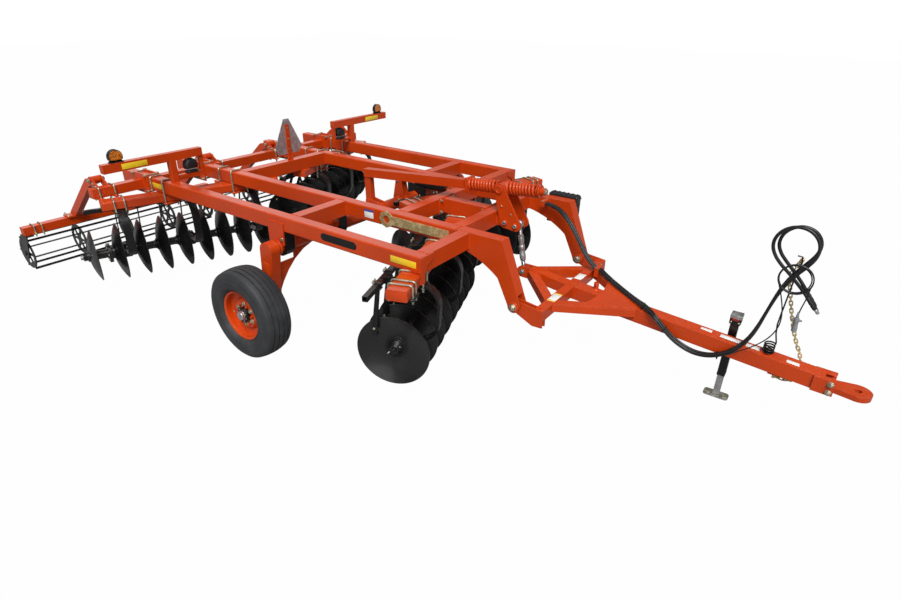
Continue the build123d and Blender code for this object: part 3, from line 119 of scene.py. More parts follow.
class Paint:
    """One material's node tree."""

    def __init__(self, name):
        self.material = bpy.data.materials.new(name)
        self.material.use_nodes = True
        self.tree = self.material.node_tree
        self.tree.nodes.clear()
        self.shader = self.tree.nodes.new("ShaderNodeBsdfPrincipled")
        output = self.tree.nodes.new("ShaderNodeOutputMaterial")
        self.tree.links.new(self.shader.outputs[0], output.inputs["Surface"])

    def node(self, kind, settings=None, inputs=None):
        """Add a node: its settings first, then the values or links of its sockets."""
        node = self.tree.nodes.new(kind)
        for name, setting in (settings or {}).items():
            if name == "stops":
                ramp = node.color_ramp
                while len(ramp.elements) < len(setting):
                    ramp.elements.new(0.5)
                for element, (place, colour) in zip(ramp.elements, setting):
                    element.position = place
                    element.color = colour
            else:
                setattr(node, name, setting)
        for socket, value in (inputs or {}).items():
            self.feed(node.inputs[socket], value)
        return node

    def feed(self, socket, value):
        source = value.source if isinstance(value, Value) else value
        if isinstance(source, bpy.types.NodeSocket):
            self.tree.links.new(source, socket)
        else:
            socket.default_value = source

    def value(self, kind, settings=None, inputs=None, output=0):
        return Value(self, self.node(kind, settings, inputs).outputs[output])

    def place(self):
        return self.value("ShaderNodeTexCoord", output="Object")

    def noise(self, scale, detail=4.0, roughness=0.55, stretch=None):
        where = self.place()
        if stretch:
            where = self.value("ShaderNodeMapping", {}, {"Vector": where, "Scale": stretch})
        return self.value("ShaderNodeTexNoise", {},
                          {"Vector": where, "Scale": scale, "Detail": detail,
                           "Roughness": roughness})

    def mix(self, share, low, high):
        """Blend two colours."""
        node = self.node("ShaderNodeMix", {"data_type": "RGBA"})
        self.feed(node.inputs["Factor"], share)
        self.feed(node.inputs[6], low)
        self.feed(node.inputs[7], high)
        return Value(self, node.outputs[2])

    def rounded(self, radius):
        """Normal that rounds off the edges of plates and tubes."""
        return self.value("ShaderNodeBevel", {"samples": 4}, {"Radius": radius})

    def edges(self, rounded):
        """1 on sharp edges and 0 on flat faces."""
        true = self.value("ShaderNodeNewGeometry", output="True Normal")
        match = self.value("ShaderNodeVectorMath", {"operation": "DOT_PRODUCT"},
                           {0: rounded, 1: true}, output="Value")
        return 1 - match.step(0.80, 0.995)

    def bump(self, height, strength, distance, normal=None):
        inputs = {"Height": height, "Strength": strength, "Distance": distance}
        if normal is not None:
            inputs["Normal"] = normal
        return self.value("ShaderNodeBump", {}, inputs)

    def finish(self, **sockets):
        for name, value in sockets.items():
            self.feed(self.shader.inputs[name.replace("_", " ")], value)
        return self.material


def rgba(colour, share=1.0):
    return (colour[0] * share, colour[1] * share, colour[2] * share, 1.0)


def enamel(name, colour, gloss, dust, edge_light):
    """Sprayed machine paint: faint orange peel, thin bright edges and a little settled dust."""
    paint = Paint(name)
    soft = paint.rounded(0.004)
    edge = paint.edges(soft)
    broad = paint.noise(2.6, 5.0)
    fine = paint.noise(38.0, 3.0)
    peel = paint.noise(420.0, 2.0)
    tint = paint.mix(broad.step(0.35, 0.7), rgba(colour, 0.93), rgba(colour, 1.05))
    worn = paint.mix(edge * fine.step(0.35, 0.7) * edge_light, tint,
                     rgba([min(1.0, c * 1.25 + 0.10) for c in colour]))
    facing = paint.value("ShaderNodeSeparateXYZ", {}, {
        0: paint.value("ShaderNodeNewGeometry", output="True Normal")}, output=2)
    settled = facing.step(0.4, 1.0) * fine.step(0.45, 0.8) * dust
    base = paint.mix(settled, worn, (0.42, 0.34, 0.27, 1.0))
    rough = gloss + 0.10 * fine.step(0.4, 0.8) + settled * 0.35
    normal = paint.bump(peel, 0.06, 0.0006, soft)
    return paint.finish(Base_Color=base, Roughness=rough, Normal=normal,
                        Coat_Weight=0.12, Coat_Roughness=0.12, Specular_IOR_Level=0.36)


def bare_steel(name, colour, roughness, grain=60.0, tint=None, metallic=0.85):
    """Plated or bare steel with brushed grain and faint stains."""
    paint = Paint(name)
    soft = paint.rounded(0.0015)
    stain = paint.noise(24.0, 5.0)
    grit = paint.noise(grain * 6, 2.0)
    low = rgba(colour, 0.72)
    high = rgba(tint or colour, 1.0)
    base = paint.mix(stain.step(0.35, 0.68), low, high)
    return paint.finish(Base_Color=base, Metallic=metallic,
                        Roughness=roughness + 0.18 * stain.step(0.4, 0.75),
                        Normal=paint.bump(grit, 0.08, 0.0004, soft))


def rubber(name, colour, roughness, scale=55.0):
    """Moulded rubber with a grey bloom and fine grain."""
    paint = Paint(name)
    bloom = paint.noise(7.0, 5.0)
    grain = paint.noise(scale * 9, 2.0)
    base = paint.mix(bloom.step(0.35, 0.75), rgba(colour), rgba([c * 1.5 + 0.005 for c in colour]))
    return paint.finish(Base_Color=base, Roughness=roughness + 0.12 * bloom.step(0.3, 0.8),
                        Normal=paint.bump(grain, 0.12, 0.0005))


def moulded_plastic(name, colour, roughness, bump=0.1):
    """Plastic with a fine moulded grain."""
    paint = Paint(name)
    grain = paint.noise(650.0, 2.0)
    broad = paint.noise(9.0, 3.0)
    soft = paint.rounded(0.002)
    base = paint.mix(broad.step(0.3, 0.8), rgba(colour, 0.9), rgba(colour, 1.1))
    return paint.finish(Base_Color=base, Roughness=roughness,
                        Normal=paint.bump(grain, bump, 0.0004, soft))


def reflective(name, colour):
    """Reflective sheet with a honeycomb of small cells."""
    paint = Paint(name)
    cells = paint.value("ShaderNodeTexVoronoi", {"feature": "DISTANCE_TO_EDGE"},
                        {"Vector": paint.place(), "Scale": 160.0})
    base = paint.mix(cells.step(0.0, 0.12), rgba(colour, 0.8), rgba(colour))
    return paint.finish(Base_Color=base, Roughness=0.32, Coat_Weight=0.5, Coat_Roughness=0.1)


def lens(name, colour):
    """Moulded lamp lens."""
    paint = Paint(name)
    cells = paint.value("ShaderNodeTexVoronoi", {"feature": "F1"},
                        {"Vector": paint.place(), "Scale": 62.0})
    base = paint.mix(cells.step(0.1, 0.75), rgba(colour, 1.15), rgba(colour, 0.45))
    return paint.finish(Base_Color=base, Roughness=0.16, Coat_Weight=0.8, Coat_Roughness=0.05,
                        Normal=paint.bump(cells, 0.5, 0.002))


FINISHES = {}


# ==== mesh kit ==============================================================================
def round_at(u, v, angle, radius=1.0):
    """A step of one radius in the plane of u and v."""
    return (u * math.cos(angle) + v * math.sin(angle)) * radius


def flat(outline, side=1):
    """An outline in metres from millimetres, mirrored where side is -1."""
    return [(side * across * MM, up * MM) for across, up in outline]


def link(name, data):
    """A new object in the scene."""
    thing = bpy.data.objects.new(name, data)
    bpy.context.scene.collection.objects.link(thing)
    return thing


def frame_of(axis, side=None):
    """Three unit vectors: two across the axis and the axis."""
    w = Vector(axis).normalized()
    guide = Vector(side) if side is not None else (Z_AXIS if abs(w.z) < 0.9 else X_AXIS)
    u = (guide - w * guide.dot(w)).normalized()
    return u, w.cross(u), w


class Piece:
    """A mesh under way. Its parts are added one by one, and ride() makes it one object."""

    def __init__(self, name, *finishes):
        self.name = name
        self.finishes = finishes
        self.mesh = bmesh.new()

    def face(self, verts, finish):
        face = self.mesh.faces.new(verts)
        face.material_index = finish
        face.smooth = True

    def faces(self, corners, faces, finish=0):
        made = [self.mesh.verts.new(corner) for corner in corners]
        for face in faces:
            self.face([made[index] for index in face], finish)

    def circle(self, middle, u, v, radius, sides):
        return [self.mesh.verts.new(middle + round_at(u, v, 2 * math.pi * index / sides, radius))
                for index in range(sides)]

    def block(self, middle, size, axes=(X_AXIS, Y_AXIS, Z_AXIS), bevel=0.0, finish=0):
        """A box with chamfered edges; size is measured along the three axes."""
        half = [length / 2 for length in size]
        bevel = min(bevel, min(half) * 0.9)
        if not bevel:
            corners = [middle + axes[0] * (half[0] * a) + axes[1] * (half[1] * b)
                       + axes[2] * (half[2] * c)
                       for a in (-1, 1) for b in (-1, 1) for c in (-1, 1)]
            self.faces(corners, ((0, 1, 3, 2), (4, 6, 7, 5), (0, 4, 5, 1), (2, 3, 7, 6),
                                 (0, 2, 6, 4), (1, 5, 7, 3)), finish)
            return
        made = bmesh.ops.create_cube(self.mesh, size=1.0)["verts"]
        turn = Matrix((axes[0], axes[1], axes[2])).transposed().to_4x4()
        scale = Matrix.Diagonal((*size, 1.0))
        bmesh.ops.transform(self.mesh, matrix=Matrix.Translation(middle) @ turn @ scale, verts=made)
        edges = {edge for vert in made for edge in vert.link_edges}
        result = bmesh.ops.bevel(self.mesh, geom=list(edges), offset=bevel, segments=2,
                                 affect="EDGES", profile=0.5)
        for face in {face for vert in result["verts"] for face in vert.link_faces}:
            face.material_index = finish
            face.smooth = True

    def lathe(self, middle, axis, outline, sides=32, finish=0, side=None, closed=False):
        """Turn an outline of (distance along the axis, radius) about the axis."""
        u, v, w = frame_of(axis, side)
        rings = []
        for along, radius in outline:
            if radius <= 1e-7:
                rings.append([self.mesh.verts.new(middle + w * along)])
                continue
            rings.append(self.circle(middle + w * along, u, v, radius, sides))
        pairs = list(zip(rings, rings[1:]))
        if closed:
            pairs.append((rings[-1], rings[0]))
        for low, high in pairs:
            for index in range(sides):
                after = (index + 1) % sides
                loop = [low[index % len(low)], low[after % len(low)],
                        high[after % len(high)], high[index % len(high)]]
                unique = list(dict.fromkeys(loop))
                if len(unique) > 2:
                    self.face(unique, finish)
        if not closed:
            for ring in (rings[0], rings[-1]):
                if len(ring) > 1:
                    self.face(ring, finish)

    def rod(self, start, end, radius, sides=24, bevel=0.0, finish=0):
        run = end - start
        length = run.length
        bevel = min(bevel, radius * 0.6, length * 0.3)
        outline = [(0, radius - bevel), (bevel, radius), (length - bevel, radius),
                   (length, radius - bevel)] if bevel else [(0, radius), (length, radius)]
        self.lathe(start, run, outline, sides, finish)

    def tube(self, path, radius, sides=12):
        """Sweep a circle along points."""
        last = len(path) - 1
        steps = [(path[min(index + 1, last)] - path[max(index - 1, 0)]).normalized()
                 for index in range(last + 1)]
        u = frame_of(steps[0])[0]
        rings = []
        for point, step in zip(path, steps):
            u = (u - step * u.dot(step)).normalized()
            v = step.cross(u)
            rings.append(self.circle(point, u, v, radius, sides))
        for low, high in zip(rings, rings[1:]):
            for index in range(sides):
                after = (index + 1) % sides
                self.face((low[index], low[after], high[after], high[index]), 0)
        for ring in (rings[0], rings[-1]):
            self.face(ring, 0)

    def plate(self, outline, origin, across, up, thickness, finish=0):
        """Extrude an outline of (across, up) to both sides of its plane."""
        across = Vector(across).normalized()
        up = Vector(up).normalized()
        normal = across.cross(up)
        low = [origin + across * a + up * b - normal * (thickness / 2) for a, b in outline]
        high = [point + normal * thickness for point in low]
        count = len(outline)
        sides = [(index, (index + 1) % count, count + (index + 1) % count, count + index)
                 for index in range(count)]
        ends = [tuple(range(count)), tuple(range(count, 2 * count))]
        self.faces(low + high, ends + sides, finish)

    def bolt(self, seat, axis, size=0.016, finish=0, washer=True, thread=0.0, side=None):
        """A hex head on a washer, standing on a face; thread adds the stud above a nut."""
        w = frame_of(axis)[2]
        base = seat
        if washer:
            self.lathe(base, w, [(0, size * 1.15), (size * 0.16, size * 1.15),
                                 (size * 0.2, size * 1.05)], 24, finish)
            base = base + w * (size * 0.2)
        tall = size * 0.68
        self.lathe(base, w, [(0, size * 0.98), (tall * 0.85, size * 0.98), (tall, size * 0.84)],
                   6, finish, side)
        if thread:
            self.lathe(base + w * tall, w, [(0, size * 0.5), (thread * 0.9, size * 0.5),
                                            (thread, size * 0.42)], 16, finish)

    def u_bolt(self, feet, over, radius=0.008):
        """A U-bolt: feet are the two leg ends and over the two corners it bends round."""
        path = []
        corners = [feet[0], over[0], over[1], feet[1]]
        for index, corner in enumerate(corners):
            if index in (0, 3):
                path.append(corner)
                continue
            into = (corners[index - 1] - corner).normalized() * 0.022
            out = (corners[index + 1] - corner).normalized() * 0.022
            for step in range(7):
                share = step / 6
                path.append(corner + into * (1 - share) ** 2 + out * share ** 2)
        self.tube(path, radius, 12)
        for foot, top in zip(feet, over):
            self.bolt(foot + (top - foot).normalized() * 0.034, foot - top, radius * 1.7)

    def straddle(self, spot, low, high, radius=0.008):
        """A U-bolt with its legs where spot(way, z) says, from low up to high."""
        self.u_bolt(*([spot(way, z) for way in WAYS] for z in (low, high)), radius)

    def mesh_object(self):
        """Finish the mesh and make it an object in the scene."""
        bmesh.ops.recalc_face_normals(self.mesh, faces=self.mesh.faces)
        data = bpy.data.meshes.new(self.name)
        self.mesh.to_mesh(data)
        self.mesh.free()
        data.set_sharp_from_angle(angle=math.radians(34))
        for finish in self.finishes:
            data.materials.append(FINISHES[finish])
        return link(self.name, data)

    def ride(self, body, slot):
        """Make the object and let it move with a body; the slot is not used."""
        thing = self.mesh_object()
        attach(thing, body)
        return thing


def curve_points(route):
    """Points along the route's own NURBS line."""
    thing = line_of("route", route)
    mesh = bpy.data.meshes.new_from_object(thing)
    points = [vert.co.copy() for vert in mesh.vertices]
    bpy.data.objects.remove(thing)
    bpy.data.meshes.remove(mesh)
    return points


def line_of(name, route, radius=0.0, resolution=8):
    """A NURBS curve with the route's points as its control points."""
    data = bpy.data.curves.new(name, "CURVE")
    data.dimensions = "3D"
    data.resolution_u = resolution
    data.bevel_depth = radius
    data.bevel_resolution = 4
    data.use_fill_caps = True
    spline = data.splines.new("NURBS")
    spline.points.add(len(route) - 1)
    for point, place in zip(spline.points, route):
        point.co = (*place, 1.0)
    spline.order_u = 3
    spline.use_endpoint_u = True
    thing = link(name, data)
    bpy.context.view_layer.update()
    return thing


# ==== sizes and colours a user would change =================================================
class HarrowColours(bpy.types.PropertyGroup):
    """Colours of the machine's finishes."""

    frame: bpy.props.FloatVectorProperty(
        name="Frame", description="Paint of the frame, beams and rims", subtype="COLOR",
        default=(0.53, 0.048, 0.003), min=0.0, max=1.0)
    ground: bpy.props.FloatVectorProperty(
        name="Discs", description="Paint of the discs, reels and scrapers", subtype="COLOR",
        default=(0.0055, 0.0052, 0.0055), min=0.0, max=1.0)
    rubber: bpy.props.FloatVectorProperty(
        name="Rubber", description="Tyres and hoses", subtype="COLOR",
        default=(0.022, 0.023, 0.025), min=0.0, max=1.0)
    zinc: bpy.props.FloatVectorProperty(
        name="Zinc", description="Plating of bolts and nuts", subtype="COLOR",
        default=(0.52, 0.50, 0.42), min=0.0, max=1.0)
    lamp: bpy.props.FloatVectorProperty(
        name="Warning lamp", description="Lens of the warning lamps", subtype="COLOR",
        default=(0.75, 0.22, 0.015), min=0.0, max=1.0)
    reflector: bpy.props.FloatVectorProperty(
        name="Reflector", description="Reflective strips", subtype="COLOR",
        default=(0.90, 0.62, 0.02), min=0.0, max=1.0)


class HarrowSizes(bpy.types.PropertyGroup):
    """Sizes of the fittings."""

    ribs: bpy.props.IntProperty(
        name="Tyre ribs", description="Ribs round each tyre", default=5, min=3, max=7)
    coil_turns: bpy.props.IntProperty(
        name="Spring turns", description="Turns of each levelling spring", default=9,
        min=4, max=14)
    sun: bpy.props.FloatProperty(
        name="Key light", description="Strength of the key light", default=3.5, min=0.0, max=6.0)


def colours():
    return bpy.context.scene.harrow_colours


def sizes():
    return bpy.context.scene.harrow_sizes


# ==== stage =================================================================================
CAMERA_PLACE = at(3720, -4040, 2650)
CAMERA_TURN = math.radians(34.85)
CAMERA_DIP = math.radians(27.15)
CAMERA_ROLL = math.radians(0.9)
CAMERA_LENS = 22.88
WORLD_LIGHT = 0.17              # how strongly the white world lights the machine
FLOOR_SIZE = 45.0
FLOOR_GLOW = 0.985              # share of plain white in the floor that the camera sees


def sun(name, direction, strength, spread):
    data = bpy.data.lights.new(name, "SUN")
    data.energy = strength
    data.angle = math.radians(spread)
    thing = link(name, data)
    thing.rotation_mode = "QUATERNION"
    thing.rotation_quaternion = Vector(direction).to_track_quat("-Z", "Y")


class HARROW_OT_stage(bpy.types.Operator):
    """Set the camera, lights, white world and floor."""

    bl_idname = "harrow.stage"
    bl_label = "Stage"

    def execute(self, context):
        scene = context.scene
        scene.view_settings.view_transform = "Standard"
        ahead = Vector((-math.sin(CAMERA_TURN) * math.cos(CAMERA_DIP),
                        math.cos(CAMERA_TURN) * math.cos(CAMERA_DIP), -math.sin(CAMERA_DIP)))
        right = Vector((math.cos(CAMERA_TURN), math.sin(CAMERA_TURN), 0))
        up = right.cross(ahead)
        tilted = right * math.cos(CAMERA_ROLL) + up * math.sin(CAMERA_ROLL)
        upright = up * math.cos(CAMERA_ROLL) - right * math.sin(CAMERA_ROLL)
        turn = Matrix((tilted, upright, -ahead)).transposed().to_4x4()
        data = bpy.data.cameras.new("camera")
        data.lens = CAMERA_LENS
        data.sensor_width = 36.0
        data.clip_end = 200.0
        camera = link("camera", data)
        camera.matrix_world = Matrix.Translation(CAMERA_PLACE) @ turn
        scene.camera = camera

        sun("key", (-0.35, 0.45, -0.82), sizes().sun, 30)
        sun("side", (-0.55, 0.78, -0.30), 0.75, 60)
        sun("back", (0.75, -0.35, -0.56), 0.7, 60)
        world = bpy.data.worlds.new("studio")
        world.use_nodes = True
        scene.world = world
        tree = world.node_tree
        tree.nodes.clear()
        self.white(tree, WORLD_LIGHT, 1.0)

        paint = Paint("floor_white")
        mottle = paint.noise(0.7, 2.0)
        paint.finish(Base_Color=paint.mix(mottle, (0.26, 0.26, 0.26, 1), (0.29, 0.29, 0.29, 1)),
                     Roughness=0.9, Specular_IOR_Level=0.1)
        glow = paint.node("ShaderNodeEmission", {}, {"Color": (1, 1, 1, 1), "Strength": 1.0})
        path = paint.node("ShaderNodeLightPath")
        seen = Value(paint, path.outputs["Is Camera Ray"])
        blend = paint.node("ShaderNodeMixShader", {}, {"Fac": seen * FLOOR_GLOW})
        paint.tree.links.new(paint.shader.outputs[0], blend.inputs[1])
        paint.tree.links.new(glow.outputs[0], blend.inputs[2])
        output = next(node for node in paint.tree.nodes if node.type == "OUTPUT_MATERIAL")
        paint.tree.links.new(blend.outputs[0], output.inputs["Surface"])
        mesh = bmesh.new()
        bmesh.ops.create_grid(mesh, x_segments=8, y_segments=8, size=FLOOR_SIZE)
        floor_data = bpy.data.meshes.new("floor")
        mesh.to_mesh(floor_data)
        mesh.free()
        floor_data.materials.append(paint.material)
        floor = link("floor", floor_data)
        return {"FINISHED"}

    def white(self, tree, lit, seen):
        """A background that lights at one strength and is seen at another."""
        path = tree.nodes.new("ShaderNodeLightPath")
        shown = tree.nodes.new("ShaderNodeMath")
        shown.operation = "MAXIMUM"
        tree.links.new(path.outputs["Is Camera Ray"], shown.inputs[0])
        tree.links.new(path.outputs["Is Transmission Ray"], shown.inputs[1])
        mix = tree.nodes.new("ShaderNodeMixShader")
        tree.links.new(shown.outputs[0], mix.inputs["Fac"])
        for socket, strength in ((1, lit), (2, seen)):
            light = tree.nodes.new("ShaderNodeBackground")
            light.inputs["Color"].default_value = (1.0, 1.0, 1.0, 1.0)
            light.inputs["Strength"].default_value = strength
            tree.links.new(light.outputs[0], mix.inputs[socket])
        output = tree.nodes.new("ShaderNodeOutputWorld")
        tree.links.new(mix.outputs[0], output.inputs["Surface"])


# ==== finishes ==============================================================================
class HARROW_OT_finishes(bpy.types.Operator):
    """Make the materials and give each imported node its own."""

    bl_idname = "harrow.finishes"
    bl_label = "Finishes"

    def execute(self, context):
        shades = colours()
        FINISHES["orange"] = enamel("orange_enamel", tuple(shades.frame), 0.30, 0.10, 0.25)
        FINISHES["black"] = enamel("black_enamel", tuple(shades.ground), 0.32, 0.12, 0.06)
        FINISHES["disc"] = self.disc_paint(tuple(shades.ground))
        FINISHES["zinc"] = bare_steel("zinc_plate", tuple(shades.zinc), 0.34, 60.0,
                                      (0.62, 0.58, 0.40))
        FINISHES["grey_zinc"] = bare_steel("grey_zinc", (0.55, 0.55, 0.54), 0.38)
        FINISHES["gold_zinc"] = bare_steel("yellow_zinc", (0.66, 0.50, 0.22), 0.24, 40.0,
                                           (0.74, 0.60, 0.30), 0.5)
        FINISHES["bright"] = bare_steel("chromed_rod", (0.80, 0.80, 0.82), 0.12, 20.0)
        FINISHES["tyre"] = rubber("tyre_rubber", tuple(shades.rubber), 0.62)
        FINISHES["hose"] = rubber("hose_rubber", (0.005, 0.005, 0.006), 0.38, 120.0)
        FINISHES["plastic"] = moulded_plastic("black_plastic", (0.010, 0.0105, 0.012), 0.42)
        FINISHES["plug_grey"] = moulded_plastic("grey_plastic", (0.22, 0.23, 0.24), 0.45)
        FINISHES["label"] = moulded_plastic("blank_label", (0.80, 0.80, 0.78), 0.38, 0.02)
        FINISHES["blank_blue"] = moulded_plastic("label_blue", (0.02, 0.06, 0.32), 0.38, 0.02)
        FINISHES["amber"] = lens("amber_lens", tuple(shades.lamp))
        FINISHES["red_lens"] = lens("red_lens", (0.45, 0.02, 0.012))
        FINISHES["reflector"] = reflective("yellow_reflector", tuple(shades.reflector))
        FINISHES["sign_orange"] = reflective("sign_orange", (0.92, 0.20, 0.02))
        FINISHES["sign_border"] = reflective("sign_border", (0.45, 0.015, 0.012))
        FINISHES["sheet"] = bare_steel("sign_sheet", (0.62, 0.63, 0.65), 0.42)
        by_slot = {"orange_paint": "orange", "black_paint": "black",
                   "zinc": "zinc", "chrome": "bright", "tyre": "tyre", "black_rubber": "hose",
                   "black_plastic": "plastic", "amber_lens": "amber", "sign_face": "sheet",
                   "grey_plastic": "plug_grey", "disc_steel": "disc"}
        by_node = {"gang_wrench": "gold_zinc", "safety_chain": "gold_zinc", "jack_leg": "grey_zinc"}
        for subpart in FRAME["record"]["subparts"]:
            name = subpart["node"]
            finish = by_node.get(name, by_slot[subpart["material_slot"]])
            NODES[name].data.materials.clear()
            NODES[name].data.materials.append(FINISHES[finish])
        return {"FINISHED"}

    def disc_paint(self, colour):
        """Semi-gloss black on rolled discs, with faint scuffs and dust."""
        paint = Paint("disc_enamel")
        cloud = paint.noise(4.5, 6.0)
        scuff = paint.noise(16.0, 7.0, 0.7)
        soft = paint.rounded(0.0015)
        base = paint.mix(cloud.step(0.4, 0.75) * 0.35, rgba(colour), (0.026, 0.026, 0.028, 1))
        rough = 0.27 + 0.16 * scuff.step(0.4, 0.75)
        return paint.finish(Base_Color=base, Roughness=rough, Coat_Weight=0.3, Coat_Roughness=0.15,
                            Normal=paint.bump(scuff, 0.05, 0.0008, soft))


# ==== hoses and cable =======================================================================
HOSE_D = 0.022
CABLE_D = 0.008
# millimetres ahead of the axle, to the left and above the ground
BRIDGE = (
    (1600, 500, 1108), (1700, 492, 1098), (1795, 470, 1055), (1885, 440, 985), (1965, 412, 900),
    (2040, 385, 812), (2115, 362, 738), (2183.4, 346.5, 694.2),
)
ALONG_TONGUE = (
    (2225, 310, 690), (2320, 256, 662), (2430, 180, 648), (2540, 110, 636), (2640, 40, 632),
    (2740, -35, 640), (2825, -98, 618), (2900, -106, 556), (2980, -106, 490), (3070, -105, 444),
    (3165, -105, 424), (3260, -105, 438), (3345, -104, 484),
)
RIGHT_LOOP = (
    (3415, -104, 552), (3468, -88, 636), (3500, -70, 730), (3518, -54, 828), (3538, -48, 925),
    (3560, -48, 1012), (3590, -48, 1092), (3630, -48, 1166), (3671, -48, 1228),
    (3702, -47, 1290), (3708, -45, 1358), (3679, -42, 1420), (3622, -38, 1460),
    (3554, -34, 1466), (3492, -30, 1437), (3452, -27, 1380), (3446, -24, 1312),
    (3475, -22, 1250), (3525, -22, 1196), (3583, -22, 1150), (3640, -22, 1099),
    (3694, -22, 1047), (3745, -22, 992),
)
LEFT_LOOP = (
    (3415, -77, 560), (3468, -48, 640), (3500, -10, 735), (3522, 22, 832), (3542, 42, 928),
    (3563, 48, 1014), (3592, 48, 1094), (3631, 48, 1168), (3672, 48, 1231),
    (3704, 47, 1294), (3709, 45, 1356), (3683, 42, 1411), (3633, 38, 1447),
    (3571, 34, 1452), (3516, 30, 1426), (3480, 27, 1376), (3475, 24, 1314),
    (3501, 22, 1259), (3544, 22, 1212), (3594, 22, 1165), (3646, 22, 1113),
    (3696, 22, 1056), (3742, 22, 996),
)
CABLE_RISE = (
    (3412, -120, 536), (3480, -113, 588), (3545, -105, 650), (3597, -98, 725), (3622, -92, 808),
    (3617, -88, 890), (3598, -85, 960), (3576, -84, 1022),
)
CABLE_DROP = (
    (3722, -84, 1112), (3723, -83, 1062), (3716, -81, 1008), (3707, -79, 953), (3703, -78, 900),
)
PLUG_END = (3708, -78, 790)
COIL = (3630, -84, 1143)
# radius, sideways place and lean of each turn of the coil, in millimetres
COIL_TURNS = ((97, -7, 0), (103, -1, 3), (91, 5, -3), (99, 8, 2))


def shifted(route, across):
    return [(x, y + across, z) for x, y, z in route]


def metres(route):
    return [at(*point) for point in route]


def line_length(points):
    return sum((after - before).length for before, after in zip(points, points[1:]))


def coil_route():
    """Control points of the coil's turns, clockwise from its lower left to its right side."""
    points = []
    turns = len(COIL_TURNS)
    start = math.radians(214)
    finish = math.radians(-12) - 2 * math.pi * (turns - 1)
    count = 15 * turns - 4
    for index in range(count + 1):
        share = index / count
        angle = start + (finish - start) * share
        place = share * (turns - 1)
        low = min(int(place), turns - 2)
        part = place - low
        radius, across, lean = [
            a + (b - a) * part for a, b in zip(COIL_TURNS[low], COIL_TURNS[low + 1])]
        points.append((COIL[0] + lean + radius * math.cos(angle), COIL[1] + across,
                       COIL[2] + radius * math.sin(angle)))
    return points


